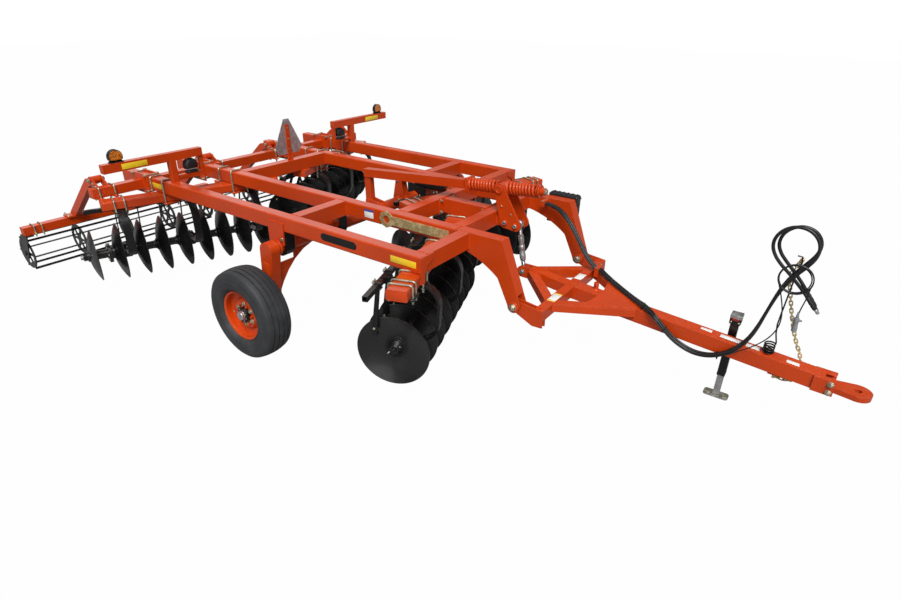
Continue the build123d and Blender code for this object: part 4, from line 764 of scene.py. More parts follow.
class HARROW_OT_hoses(bpy.types.Operator):
    """Lay the two hydraulic hoses and the lamp cable, with their couplers, plug and ties."""

    bl_idname = "harrow.hoses"
    bl_label = "Hoses and cable"

    def execute(self, context):
        offsets = (("right", -35.0, HOSE_D), ("left", -5.0, HOSE_D), ("cable", -59.0, CABLE_D))
        for name, across, diameter in offsets:
            self.bridge(name, shifted(BRIDGE, across), diameter)
        self.hose("hose_right", ALONG_TONGUE + RIGHT_LOOP,
                  self.coupler("coupler_right", RIGHT_LOOP))
        self.hose("hose_left", shifted(ALONG_TONGUE, 30) + list(LEFT_LOOP),
                  self.coupler("coupler_left", LEFT_LOOP))
        self.lamp_cable()
        self.ties()
        return {"FINISHED"}

    def bridge(self, name, route, diameter):
        """The stretch of hose over the tongue's hinge, made as one fixed mesh."""
        points = curve_points(metres(route))
        piece = Piece(f"bridge_{name}", "hose")
        piece.tube(points, diameter / 2, 16)
        thing = piece.mesh_object()
        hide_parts("hose_bridge")
        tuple(points[0])
        line_length(points)
        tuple(points[0])
        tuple(points[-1])
        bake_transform(thing)

    def hose(self, name, route, coupler):
        line = line_of(f"{name}_line", metres(route), HOSE_D / 2, 8)
        line.data.materials.append(FINISHES["hose"])
        length = line_length(curve_points(metres(route)))
        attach(line, "tongue")
        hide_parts(name)
        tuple(at(*route[0]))

    def coupler(self, name, loop):
        """Crimped sleeve, quick coupler and its steel tip."""
        end = at(*loop[-1])
        ahead = (end - at(*loop[-2])).normalized()
        piece = Piece(name, "plastic", "grey_zinc")
        piece.lathe(end - ahead * 0.035, ahead, [
            (0.0, 0.0128), (0.004, 0.0136), (0.035, 0.0136), (0.036, 0.0150), (0.052, 0.0150),
            (0.054, 0.0132), (0.058, 0.0132), (0.060, 0.0150), (0.088, 0.0150), (0.093, 0.0128)],
            32, 0)
        piece.lathe(end + ahead * 0.056, ahead, [
            (0.0, 0.0095), (0.003, 0.0110), (0.012, 0.0110), (0.013, 0.0085), (0.017, 0.0085),
            (0.018, 0.0110), (0.030, 0.0110), (0.033, 0.0095), (0.036, 0.0078), (0.036, 0.0040),
            (0.030, 0.0030)], 32, 1)
        thing = piece.ride("tongue", "zinc")
        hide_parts("couplers")
        return thing

    def lamp_cable(self):
        route = (shifted(ALONG_TONGUE, -24) + list(CABLE_RISE) + coil_route() + list(CABLE_DROP))
        line = line_of("lamp_cable_line", metres(route), CABLE_D / 2, 6)
        line.data.materials.append(FINISHES["hose"])
        length = line_length(curve_points(metres(route)))
        end = at(*CABLE_DROP[-1])
        tip = at(*PLUG_END)
        down = (tip - end).normalized()
        plug = Piece("lamp_plug", "plug_grey", "grey_zinc")
        plug.lathe(end - down * 0.028, down, [
            (0.0, 0.0052), (0.004, 0.0060), (0.026, 0.0088), (0.028, 0.0092), (0.040, 0.0092),
            (0.042, 0.0150), (0.050, 0.0165), (0.052, 0.0170), (0.068, 0.0170), (0.070, 0.0148),
            (0.100, 0.0148), (0.102, 0.0170), (0.136, 0.0170), (0.138, 0.0150), (0.126, 0.0135)],
            32, 0)
        plug.block(end + down * 0.029, (0.062, 0.018, 0.010), frame_of(down, X_AXIS), 0.003)
        u, v = frame_of(down)[:2]
        for turn in range(6):
            pin = end + round_at(u, v, math.radians(60 * turn), 0.008)
            plug.rod(pin + down * 0.092, pin + down * 0.106, 0.0018, 10, finish=1)
        plug = plug.ride("tongue", "grey_plastic")
        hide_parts("cable_plug")
        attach(line, "tongue")
        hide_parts("lamp_cable", "cable_coil")
        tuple(at(*route[0]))

    def ties(self):
        """Wrapped sleeves along the tongue and the two clamps' bolts."""
        points = curve_points(metres(shifted(ALONG_TONGUE, 8)))
        piece = Piece("hose_ties", "plastic", "zinc")
        for place, wide in ((0.40, 0.034), (0.62, 0.030), (0.99, 0.034)):
            index = int(place * (len(points) - 2))
            ahead = (points[index + 1] - points[index]).normalized()
            piece.block(points[index] - Y_AXIS * 0.004, (0.079, wide, 0.006),
                        (Y_AXIS, ahead.cross(Y_AXIS), ahead), 0.002)
        for across in (-62, 34):
            piece.bolt(at(2207, 345 + across, 710), Z_AXIS, 0.008, 1)
        piece.ride("tongue", "black_plastic")
        clamp = Piece("hose_clamp_bolts", "zinc")
        for across in (-58, 26):
            clamp.bolt(at(1580, 500 + across, 1132), Z_AXIS, 0.008)
        clamp.ride("frame", "zinc")


# ==== wheels ================================================================================
WHEEL_Y = 1575
TYRE_R = 387.5
STUD_CIRCLE_R = 90


class HARROW_OT_wheels(bpy.types.Operator):
    """Make the ribbed tyres, the wheel nuts, hub caps and valves."""

    bl_idname = "harrow.wheels"
    bl_label = "Wheels"

    def execute(self, context):
        for name, side in SIDES:
            middle = at(0, side * WHEEL_Y, TYRE_R)
            outwards = Y_AXIS * side
            self.tyre(name, middle, outwards)
            self.hub(name, middle, outwards)
        return {"FINISHED"}

    def crown(self, place):
        return TYRE_R - 12 * (place / 95) ** 2

    def tyre(self, name, middle, outwards):
        """Ribs with grooves between them, round shoulders and lightly ringed flanks."""
        ribs = sizes().ribs
        pitch = 220 / ribs
        grooves = [pitch * (index - (ribs - 2) / 2) for index in range(ribs - 1)]
        top = [(-95, self.crown(95))]
        for groove in grooves:
            for place, depth in ((-7.2, 0), (-6.6, -0.8), (-5.2, -12), (5.2, -12), (6.6, -0.8),
                                 (7.2, 0)):
                top.append((groove + place, self.crown(groove + place) + depth))
            top.append((groove + pitch / 2, self.crown(groove + pitch / 2)))
        top[-1] = (95, self.crown(95))
        half = [(104, 371.5), (112, 362.5), (118.5, 351), (122.5, 341), (125, 336), (125.4, 334),
                (124.6, 332), (127.6, 318), (129.3, 304), (129.8, 297), (130.6, 295.5),
                (130.6, 291), (129.8, 289.5), (129.4, 276), (127.6, 262), (125.2, 252),
                (125.8, 250), (124.2, 247), (119, 238), (112, 229), (103, 221), (95, 216.5),
                (87, 212)]
        outline = ([(-place, radius) for place, radius in reversed(half)] + top + half
                   + [(84, 203.4), (-84, 203.4)])
        piece = Piece(f"tyre_ribbed_{name}", "tyre")
        piece.lathe(middle, outwards, flat(outline), 120, closed=True)
        thing = piece.ride(f"wheel_{name}", "tyre")
        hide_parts(f"tyre_{name}")

    def hub(self, name, middle, outwards):
        piece = Piece(f"hub_{name}", "black", "zinc", "grey_zinc", "plastic")
        piece.lathe(middle, outwards, [
            (0.048, 0.0628), (0.056, 0.0640), (0.078, 0.0640), (0.0845, 0.0560), (0.0850, 0.0410)],
            48, 0)
        piece.lathe(middle, outwards, [
            (0.084, 0.0412), (0.088, 0.0412), (0.090, 0.0385), (0.102, 0.0375), (0.1075, 0.0330),
            (0.1085, 0.0200), (0.1065, 0.0)], 48, 2)
        for index in range(6):
            angle = 2 * math.pi * index / 6 + math.pi / 2
            spot = middle + round_at(X_AXIS, Z_AXIS, angle, STUD_CIRCLE_R * MM) + outwards * 0.051
            piece.lathe(spot, outwards, [(0, 0.0215), (0.003, 0.0215), (0.006, 0.0170)], 32, 1)
            piece.bolt(spot + outwards * 0.004, outwards, 0.0150, 1, washer=False)
        for index in range(8):
            angle = 2 * math.pi * (index + 0.5) / 8
            spot = middle + round_at(X_AXIS, Z_AXIS, angle, 0.052) + outwards * 0.0835
            piece.bolt(spot, outwards, 0.0052, 2, washer=False)
        valve = middle + X_AXIS * -0.148 + Z_AXIS * -0.012 + outwards * 0.022
        aim = (outwards + X_AXIS * 0.35).normalized()
        piece.rod(valve, valve + aim * 0.022, 0.0075, 16, 0.002, 3)
        piece.rod(valve + aim * 0.020, valve + aim * 0.048, 0.0042, 16, 0.001, 1)
        piece.ride(f"wheel_{name}", "zinc")


# ==== levelling gear ========================================================================
TRUNNION = (1430, 0, 1330)
ROCKER_PIVOT = (1500, 0, 1060)
LINK = (1600, 0, 1050)
CLEVIS = (1675, 0, 650)
LEVEL_REAR = (-110, 0, 1210)
CHEEK = 77
SPRING_LENGTH = 0.290
CYLINDER_Y = 330
CYLINDER_Z = 1100


class HARROW_OT_levelling(bpy.types.Operator):
    """Make the levelling springs, the rod's nuts, the rocker's pins and the turnbuckle."""

    bl_idname = "harrow.levelling"
    bl_label = "Levelling gear"

    def execute(self, context):
        self.axis = (at(*TRUNNION) - at(*LEVEL_REAR)).normalized()
        self.springs()
        self.rod_end()
        self.rocker_pins()
        self.turnbuckle()
        self.lift_cylinder()
        return {"FINISHED"}

    def on_rod(self, distance):
        return at(*TRUNNION) + self.axis * (distance * MM)

    def springs(self):
        turns = sizes().coil_turns
        for name, start in (("rear", -334), ("front", 34)):
            piece = Piece(f"level_spring_{name}", "orange")
            u, v, w = frame_of(self.axis, Z_AXIS)
            first = self.on_rod(start)
            path = []
            count = turns * 20
            for index in range(count + 1):
                share = index / count
                place = share + 0.018 * math.sin(2 * math.pi * share)
                place = max(0.036, min(0.964, 0.036 + 0.928 * place))
                angle = 2 * math.pi * turns * share
                path.append(first + w * (SPRING_LENGTH * place)
                            + round_at(u, v, angle, 0.0434))
            piece.tube(path, 0.0127, 12)
            for end in (0.0, SPRING_LENGTH):
                way = -1 if end else 1
                piece.lathe(first + w * end, w * way, [
                    (-0.0005, 0.0205), (-0.0005, 0.0560), (0.0060, 0.0560), (0.0085, 0.0540),
                    (0.0085, 0.0205)], 48, closed=True)
            thing = piece.ride("level_rod", "orange_paint")
            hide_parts("level_springs")

    def rod_end(self):
        """Stop washer, two nuts and the thread at the rod's front, and the springs' rear plates."""
        piece = Piece("level_rod_nuts", "zinc", "orange", "grey_zinc")
        w = self.axis
        piece.lathe(self.on_rod(341), w, [(0, 0.030), (0.004, 0.034), (0.008, 0.034)], 40, 1)
        for start, size in ((349, 0.0290), (371, 0.0270)):
            piece.lathe(self.on_rod(start), w, [
                (0, size * 0.9), (0.002, size), (0.017, size), (0.019, size * 0.9)], 6, 0)
        thread = [(0.0, 0.0182)]
        for index in range(12):
            thread += [(0.0012 + 0.0026 * index, 0.0190), (0.0025 + 0.0026 * index, 0.0178)]
        piece.lathe(self.on_rod(380), w, thread[:13] + [(0.0158, 0.0)], 24, 2)
        for start in (-336, -322):
            piece.block(self.on_rod(start), (0.010, 0.118, 0.118),
                        (w, Y_AXIS, w.cross(Y_AXIS)), 0.004, 1)
        piece.ride("level_rod", "zinc")

    def rocker_pins(self):
        piece = Piece("rocker_pins", "orange", "zinc", "grey_zinc")
        for way in WAYS:
            aim = Y_AXIS * way
            face = at(TRUNNION[0], way * CHEEK, TRUNNION[2])
            piece.lathe(face, aim, [(0, 0.034), (0.004, 0.036), (0.010, 0.036), (0.012, 0.033),
                                    (0.012, 0.024), (0.009, 0.022), (0.009, 0.0)], 40, 0)
            for pin in (ROCKER_PIVOT, LINK):
                spot = at(pin[0], way * CHEEK, pin[2])
                piece.lathe(spot, aim, [(0, 0.026), (0.005, 0.026), (0.006, 0.024)], 36, 0)
                piece.lathe(spot + aim * 0.006, aim, [
                    (0, 0.0172), (0.009, 0.0172), (0.011, 0.0150), (0.011, 0.0080),
                    (0.008, 0.0070), (0.008, 0.0)], 28, 2)
            for x, z in ((1465, 1195), (1552, 1140)):
                piece.bolt(at(x, way * CHEEK, z), aim, 0.0075, 1)
        piece.ride("rocker", "orange_paint")

    def turnbuckle(self):
        """Two eyes with threads and a forged sleeve between them."""
        top = at(*LINK)
        foot = at(*CLEVIS)
        w = (foot - top).normalized()
        long = (foot - top).length
        piece = Piece("turnbuckle_forged", "grey_zinc")
        for eye, hole in ((top, 0.0166), (foot, 0.0160)):
            piece.lathe(eye - Y_AXIS * 0.019, Y_AXIS, [
                (0, hole), (0, 0.029), (0.005, 0.033), (0.033, 0.033), (0.038, 0.029),
                (0.038, hole)], 36, 0, closed=True)
        for start, way in ((top, 1), (foot, -1)):
            outline = [(0.026, 0.0150), (0.050, 0.0165)]
            for index in range(14):
                outline += [(0.052 + 0.0036 * index, 0.0158), (0.0538 + 0.0036 * index, 0.0172)]
            piece.lathe(start, w * way, outline, 24, 0)
            piece.lathe(start + w * way * 0.092, w * way, [
                (0, 0.024), (0.002, 0.027), (0.014, 0.027), (0.016, 0.024)], 6, 0)
        sleeve = [(0.106, 0.0235), (0.112, 0.0262), (0.142, 0.0262), (0.150, 0.0235),
                  (long / 2 - 0.022, 0.0225), (long / 2 - 0.016, 0.0265),
                  (long / 2 + 0.016, 0.0265), (long / 2 + 0.022, 0.0225),
                  (long - 0.150, 0.0235), (long - 0.142, 0.0262),
                  (long - 0.112, 0.0262), (long - 0.106, 0.0235)]
        piece.lathe(top, w, sleeve, 32, 0)
        thing = piece.ride("turnbuckle", "zinc")
        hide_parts("turnbuckle")
        pins = Piece("clevis_pin", "grey_zinc")
        for way in WAYS:
            pins.lathe(at(CLEVIS[0], way * 37, CLEVIS[2]), Y_AXIS * way, [
                (0, 0.0240), (0.003, 0.0240), (0.003, 0.0165), (0.014, 0.0165), (0.016, 0.0145),
                (0.016, 0.0)], 32, 0)
        pins.ride("tongue", "zinc")

    def lift_cylinder(self):
        """Black barrel with its gland nut, ports and rear eye, and the rod's eye pin."""
        anchor = at(670, CYLINDER_Y, CYLINDER_Z)
        back = -X_AXIS
        piece = Piece("lift_cylinder", "black", "grey_zinc", "zinc")
        piece.lathe(anchor, back, [
            (0.042, 0.0), (0.042, 0.0410), (0.046, 0.0448), (0.376, 0.0448), (0.378, 0.0460),
            (0.400, 0.0460), (0.404, 0.0430), (0.406, 0.0200)], 48, 0)
        piece.lathe(anchor - Y_AXIS * 0.026, Y_AXIS, [
            (0, 0.0165), (0, 0.0300), (0.003, 0.0320), (0.049, 0.0320), (0.052, 0.0300),
            (0.052, 0.0165)], 36, 0, closed=True)
        piece.block(anchor + back * 0.034, (0.034, 0.050, 0.056), bevel=0.004)
        for along in (0.068, 0.372):
            spot = anchor + back * along + Z_AXIS * 0.040
            piece.rod(spot, spot + Z_AXIS * 0.016, 0.0130, 24, 0.002, 0)
            piece.lathe(spot + Z_AXIS * 0.016, Z_AXIS,
                        [(0, 0.0125), (0.012, 0.0125), (0.014, 0.010)], 6, 2)
        for way in WAYS:
            spot = anchor + Y_AXIS * (way * 0.040)
            piece.lathe(spot, Y_AXIS * way, [(0, 0.0160), (0.013, 0.0160), (0.0145, 0.0140),
                                             (0.0145, 0.0)], 28, 1)
        thing = piece.ride("cylinder_barrel", "black_paint")
        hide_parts("cylinder_barrel")
        eye = Piece("lift_lever_pin", "grey_zinc")
        for way in WAYS:
            eye.lathe(at(50, CYLINDER_Y + way * 42.5, CYLINDER_Z), Y_AXIS * way, [
                (0, 0.0220), (0.004, 0.0220), (0.004, 0.0150), (0.014, 0.0150), (0.016, 0.0130),
                (0.016, 0.0)], 28)
        eye.ride("lift_shaft", "zinc")


# ==== gangs =================================================================================
BEAM_TOP = 1013
BEAM_BOTTOM = 933
GANG_Z = 416
DISC_PITCH = 203.2
DISC_DISH = 74.72
STRAP_T = 18


class Gang:
    """Places along one gang, in millimetres from its outer disc's rim."""

    def __init__(self, name, side, x, y, front):
        self.name = name
        self.side = side
        self.front = front
        angle = math.radians(20 if front else 19)
        lead = -1 if front else 1
        self.start = Vector((x, side * y, 0))
        self.inward = Vector((lead * math.sin(angle), -side * math.cos(angle), 0))
        self.ahead = Vector((math.cos(angle), side * lead * math.sin(angle), 0))
        self.beam = 112 if front else 275

    def at(self, s, ahead, z):
        place = self.start + self.inward * s + self.ahead * ahead
        return at(place.x, place.y, z)

    def bearings(self):
        return [gap * DISC_PITCH + (155 if self.front else DISC_PITCH - 155) for gap in (0, 3, 6)]


GANGS = (Gang("front_right", RIGHT, 1372, 1382, True), Gang("front_left", LEFT, 812, 1382, True),
         Gang("rear_right", RIGHT, -2050, 1550, False), Gang("rear_left", LEFT, -2050, 1550, False))


class HARROW_OT_gangs(bpy.types.Operator):
    """Add the U-bolts, bearing bolts, scraper clamps and hub fittings of the four gangs."""

    bl_idname = "harrow.gangs"
    bl_label = "Gang fittings"

    def execute(self, context):
        for gang in GANGS:
            self.hanger_bolts(gang)
            self.scraper_clamps(gang)
            self.hub(gang)
            self.beam_ends(gang)
        return {"FINISHED"}

    def hanger_bolts(self, gang):
        """Two U-bolts over the beam at each hanger, with a plate and nuts under the strap."""
        piece = Piece(f"hanger_bolts_{gang.name}", "zinc", "black", "grey_zinc")
        axes = (gang.ahead, gang.inward, Z_AXIS)
        for s in gang.bearings():
            plate_z = BEAM_BOTTOM - STRAP_T - 6
            piece.block(gang.at(s, gang.beam, plate_z), (0.204, 0.112, 0.012), axes, 0.003, 1)
            for place in (s - 43, s + 43):
                self.over_beam(piece, gang, place, BEAM_BOTTOM - 62)
            for way in WAYS:
                for across in (-50, 50):
                    spot = gang.at(s + way * 28, across, GANG_Z)
                    piece.rod(spot, spot + gang.inward * (way * 0.006), 0.0100, 20, 0.001, 2)
                collar = gang.at(s + way * 28, 0, GANG_Z)
                piece.lathe(collar, gang.inward * way, [
                    (0, 0.0680), (0.004, 0.0660), (0.004, 0.0560), (0.009, 0.0530),
                    (0.009, 0.0445)], 48, 1)
            nipple = gang.at(s, 0, GANG_Z + 74)
            piece.rod(nipple, nipple + Z_AXIS * 0.007, 0.0055, 6, 0.0, 2)
            piece.rod(nipple + Z_AXIS * 0.007, nipple + Z_AXIS * 0.015, 0.0032, 12, 0.001, 2)
            for turn in (40, 140):
                angle = math.radians(turn)
                face = round_at(gang.ahead, Z_AXIS, angle)
                piece.bolt(gang.at(s, 0, GANG_Z) + face * 0.0735, face, 0.0120, 2)
        if gang.front:
            piece.block(gang.at(-80, gang.beam, BEAM_BOTTOM - 6), (0.204, 0.130, 0.012), axes,
                        0.003, 1)
            for place in (-112, -48):
                self.over_beam(piece, gang, place, BEAM_BOTTOM - 44)
        piece.ride("frame", "zinc")

    def over_beam(self, piece, gang, place, low):
        """A U-bolt over the gang's beam."""
        piece.straddle(lambda way, z: gang.at(place, gang.beam + way * 86, z), low, BEAM_TOP + 8)

    def scraper_clamps(self, gang):
        ahead, height = (-85, 950) if gang.front else (-15, 850)
        toward = -1 if gang.front else 1
        piece = Piece(f"scraper_clamps_{gang.name}", "zinc", "black")
        axes = (gang.ahead, gang.inward, Z_AXIS)
        for index in range(8):
            s = index * DISC_PITCH + toward * 22
            piece.block(gang.at(s, ahead, height - 22), (0.056, 0.046, 0.010), axes, 0.002, 1)
            for way in WAYS:
                foot = gang.at(s + way * 17, ahead - 26, height - 34)
                piece.rod(foot, foot + Z_AXIS * 0.072, 0.0055, 12, 0.001)
                piece.bolt(gang.at(s + way * 17, ahead - 26, height + 22), Z_AXIS, 0.0085)
            piece.block(gang.at(s, ahead, height + 21), (0.070, 0.050, 0.005), axes, 0.001, 1)
            blade = gang.at(s - toward * 12, -130, 549)
            piece.bolt(blade + Z_AXIS * 0.004, Z_AXIS, 0.0075)
            piece.bolt(gang.at(s + toward * 4, -128, 600), gang.inward * toward, 0.0080)
        piece.ride("frame", "zinc")

    def hub(self, gang):
        """End nut, flange bolts and grease fittings that turn with the gang."""
        piece = Piece(f"hub_fittings_{gang.name}", "grey_zinc", "black", "zinc")
        out = -gang.inward
        if gang.front:
            face = gang.at(DISC_DISH - 10, 0, GANG_Z)
            piece.lathe(face, out, [(0, 0.0860), (0.004, 0.0850), (0.004, 0.0700), (0.008, 0.0680),
                                    (0.008, 0.0625)], 64, 1)
            for angle in (math.radians(35), math.radians(215)):
                spot = face + out * 0.034 + round_at(gang.ahead, Z_AXIS, angle, 0.048)
                aim = (out + round_at(gang.ahead, Z_AXIS, angle)).normalized()
                piece.rod(spot, spot + aim * 0.014, 0.0045, 6)
                piece.rod(spot + aim * 0.014, spot + aim * 0.022, 0.0030, 10, 0.001)
            piece.lathe(face + out * 0.064, out, [(-0.002, 0.0200), (-0.002, 0.0215), (0.0, 0.0215),
                                                  (0.0, 0.0150), (0.006, 0.0130), (0.006, 0.0)], 32,
                        1)
            place = 7 * DISC_PITCH + DISC_DISH + 14
            piece.lathe(gang.at(place, 0, GANG_Z), gang.inward, [
                (0.0, 0.0355), (0.004, 0.0390), (0.032, 0.0390), (0.036, 0.0355)], 6, 1)
        else:
            spool = gang.at(-DISC_DISH - 52, 0, GANG_Z)
            for index in range(6):
                step = round_at(gang.ahead, Z_AXIS, math.radians(60 * index), 0.074)
                piece.bolt(spool + step, out, 0.0110, 2)
            end = gang.at(-DISC_DISH - 216 - 18, 0, GANG_Z)
            piece.lathe(end, out, [(0.0, 0.0360), (0.003, 0.0400), (0.032, 0.0400),
                                   (0.035, 0.0360)], 6, 1)
            piece.lathe(end + out * 0.030, out, [(0.0, 0.0225), (0.026, 0.0225), (0.028, 0.020)],
                        24, 0)
        piece.ride(f"{gang.name}_gang", "zinc")

    def beam_ends(self, gang):
        """Caps in the ends of the gang beam."""
        first, last = (-190, 1500) if gang.front else (-100, 1560)
        piece = Piece(f"beam_caps_{gang.name}", "orange")
        axes = (gang.ahead, gang.inward, Z_AXIS)
        for s, way in ((first, -1), (last, 1)):
            piece.block(gang.at(s - way * 3, gang.beam, (BEAM_TOP + BEAM_BOTTOM) / 2),
                        (0.1365, 0.006, 0.0645), axes, 0.001)
        piece.ride("frame", "orange_paint")


# ==== frame fittings ========================================================================
TUBE_HALF = 51
FRAME_TOP = 1140
FRAME_BOTTOM = 1013
OUTER_Y = 1195
INNER_Y = 585
TOOLBAR_X = -1950
TOOLBAR_TOP = 1105
REEL_BEAM_X = -2760
REEL_ARM_YS = (430, 1610)
LIGHT_X = -1450
BOX_X = 1680
BOX_Y = 682
# side, centre y, rear x, front x
RAILS = ((RIGHT, OUTER_Y, -2300, 1520), (RIGHT, INNER_Y, -2330, 1390),
         (LEFT, INNER_Y, -2330, 1390), (LEFT, OUTER_Y, -2300, 840))
# centre x, y of the two ends, millimetres
CROSS_TUBES = ((1469, -1144, -636), (790, 636, 1144), (790, -534, 534), (180, -1144, -636),
               (180, 636, 1144), (-1300, -534, 534), (1360, -534, 534))


class HARROW_OT_frame_fittings(bpy.types.Operator):
    """Add the frame's end caps, weld beads, flange bolts, bearing plates and the manual box."""

    bl_idname = "harrow.frame_fittings"
    bl_label = "Frame fittings"

    def execute(self, context):
        self.caps()
        self.welds()
        self.toolbar()
        self.reel_bolts()
        self.lift_plates()
        self.corner_gusset()
        self.centre_flanges()
        self.manual_box()
        return {"FINISHED"}

    def caps(self):
        piece = Piece("tube_caps", "orange")
        for side, centre, rear, front in RAILS:
            for x, way in ((rear, -1), (front, 1)):
                if front == 1390 and way == 1:
                    continue
                piece.block(at(x - way * 2, side * centre, 1076.5), (0.006, 0.088, 0.113),
                            bevel=0.002)
        for side in (RIGHT, LEFT):
            piece.block(at(TOOLBAR_X, side * 1733, 1060), (0.080, 0.006, 0.080), bevel=0.002)
            for y in (876, 1805):
                piece.block(at(LIGHT_X, side * y, 1380), (0.050, 0.006, 0.066), bevel=0.002)
        piece.ride("frame", "orange_paint")

    def welds(self):
        piece = Piece("weld_beads", "orange")
        for x, *ends in CROSS_TUBES:
            for y, way in zip(ends, (1, -1)):
                for edge in (x - TUBE_HALF, x + TUBE_HALF):
                    self.bead(piece, at(edge, y + way * 1.5, FRAME_BOTTOM),
                              at(edge, y + way * 1.5, FRAME_TOP - 8))
                self.bead(piece, at(x - TUBE_HALF, y - way * 6, FRAME_TOP - 1.0),
                          at(x + TUBE_HALF, y - way * 6, FRAME_TOP - 1.0))
        for side in (RIGHT, LEFT):
            for y in (-TUBE_HALF, TUBE_HALF):
                self.bead(piece, at(1390, side * INNER_Y + y, FRAME_BOTTOM + 4),
                          at(1390, side * INNER_Y + y, FRAME_TOP - 8))
            self.bead(piece, at(1390, side * INNER_Y - 43, FRAME_TOP),
                      at(1390, side * INNER_Y + 43, FRAME_TOP))
        for x in (LIGHT_X - 30, LIGHT_X + 30):
            for side in (RIGHT, LEFT):
                self.bead(piece, at(x, side * 1183 - 28, FRAME_TOP + 1),
                          at(x, side * 1183 + 28, FRAME_TOP + 1))
        piece.ride("frame", "orange_paint")

    def bead(self, piece, start, end):
        """A run of weld with its ripples."""
        run = end - start
        count = max(4, int(run.length / 0.005))
        outline = [(run.length * index / count, 0.0042 + 0.0008 * (index % 2))
                   for index in range(count + 1)]
        piece.lathe(start, run, outline, 8)

    def toolbar(self):
        """Four long bolts at each rail and U-bolts at each reel arm."""
        piece = Piece("toolbar_bolts", "zinc", "orange")
        for side, centre, *_ in RAILS:
            for x in (TOOLBAR_X - 108, TOOLBAR_X + 108):
                for z in (1150, 992):
                    inner = at(x, side * centre - (TUBE_HALF + 12), z)
                    outer = at(x, side * centre + (TUBE_HALF + 12), z)
                    piece.rod(inner, outer, 0.0085, 16)
                    piece.bolt(outer, Y_AXIS, 0.0150)
                    piece.bolt(inner, -Y_AXIS, 0.0150, thread=STUD)
        for side in (RIGHT, LEFT):
            for centre in REEL_ARM_YS:
                for across in (-70, 70):
                    y = side * centre + across
                    piece.straddle(lambda way, z: at(TOOLBAR_X + way * 54, y, z),
                                   TOOLBAR_TOP - 128, TOOLBAR_TOP + 8)
                    piece.block(at(TOOLBAR_X, y, TOOLBAR_TOP - 96), (0.150, 0.044, 0.012),
                                bevel=0.003, finish=1)
                for way in WAYS:
                    spot = at(-2075, side * centre + way * 62, 1150)
                    piece.bolt(spot, Y_AXIS * way, 0.0190)
                    for x, z in ((-2040, 1122), (-2010, 1085)):
                        piece.bolt(at(x, side * centre + way * 52, z), Y_AXIS * way, 0.0100)
        for gang in GANGS[2:]:
            for rail in (OUTER_Y, INNER_Y):
                s = (rail - gang.start.y * gang.side) / (gang.inward.y * gang.side)
                middle = gang.start + gang.inward * s + gang.ahead * gang.beam
                for ahead in (-102, 102):
                    y = gang.side * rail
                    piece.straddle(lambda way, z: at(middle.x + ahead, y + way * 60, z),
                                   BEAM_BOTTOM - 46, FRAME_TOP + 8)
                    piece.block(at(middle.x + ahead, y, BEAM_BOTTOM - 8), (0.050, 0.150, 0.014),
                                bevel=0.003, finish=1)
        piece.ride("frame", "zinc")

    def reel_bolts(self):
        """U-bolts at the outer ends of the reel beams and bolts where the arms stand on them."""
        for name, side in SIDES:
            piece = Piece(f"reel_bolts_{name}", "zinc")
            for y in (1950, 2020):
                piece.straddle(lambda way, z: at(REEL_BEAM_X + way * 47, side * y, z), 556, 668,
                               0.0070)
            for centre in REEL_ARM_YS:
                for x in (REEL_BEAM_X - 45, REEL_BEAM_X + 45):
                    for across in (-74, 74):
                        piece.bolt(at(x, side * centre + across, 674), Z_AXIS, 0.0130, thread=STUD)
            piece.ride(f"reel_frame_{name}", "zinc")
            caps = Piece(f"reel_caps_{name}", "orange")
            for y in (70, 2113):
                caps.block(at(REEL_BEAM_X, side * y, 620), (0.070, 0.006, 0.070), bevel=0.002)
            caps.ride(f"reel_frame_{name}", "orange_paint")

    def lift_plates(self):
        """Plates that hang the lift shaft's bearings from the rails, with their bolts."""
        piece = Piece("lift_plates", "orange", "zinc")
        outline = [(-48, 1082), (-40, 1092), (128, 1092), (136, 1082), (136, 905), (128, 893),
                   (70, 860), (-20, 792), (-52, 790), (-72, 812), (-70, 842), (-48, 870)]
        points = [(x + AXLE_X, z) for x, z in flat(outline)]
        for side in (RIGHT, LEFT):
            for centre in (OUTER_Y, INNER_Y):
                for way in WAYS:
                    if way * side < 0 and centre == INNER_Y:
                        continue
                    y = side * centre + way * 57
                    piece.plate(points, Y_AXIS * (y * MM), X_AXIS, Z_AXIS, 0.011)
                    for x, z in ((-42, 818), (112, 948)):
                        piece.bolt(at(x, y + way * 5.5, z), Y_AXIS * way, 0.0150, 1)
        piece.ride("frame", "orange_paint")
        shaft = Piece("lift_collars", "orange")
        for side in (RIGHT, LEFT):
            shaft.lathe(at(50, side * 1262, 870), Y_AXIS * side, [
                (0, 0.0565), (0, 0.0660), (0.003, 0.0690), (0.014, 0.0690), (0.017, 0.0660),
                (0.017, 0.0565)], 48, closed=True)
            outline = [(1296, 828), (1276, 828), (1276, 728), (1106, 728), (1106, 824), (880, 824),
                       (884, 812), (1000, 776), (1100, 715), (1180, 640), (1245, 556), (1296, 468)]
            shaft.plate(flat(outline, side),
                        Vector((AXLE_X + 0.046, 0, 0)), Y_AXIS, Z_AXIS, 0.014)
            shaft.block(at(25, side * 1388, 620), (0.076, 0.006, 0.300),
                        (Vector((0.994, 0, -0.103)), Y_AXIS, Vector((0.103, 0, 0.994))), 0.002)
        shaft.ride("lift_shaft", "orange_paint")

    def corner_gusset(self):
        piece = Piece("corner_gussets", "orange")
        for side, x in ((RIGHT, 1526), (LEFT, 846)):
            outline = [(1246, 1139), (1100, 1139), (1100, 1100), (1170, 1060), (1200, 1005),
                       (1200, 940), (1246, 940)]
            piece.plate(flat(outline, side),
                        Vector((AXLE_X + x * MM, 0, 0)), Y_AXIS, Z_AXIS, 0.010)
        piece.ride("frame", "orange_paint")

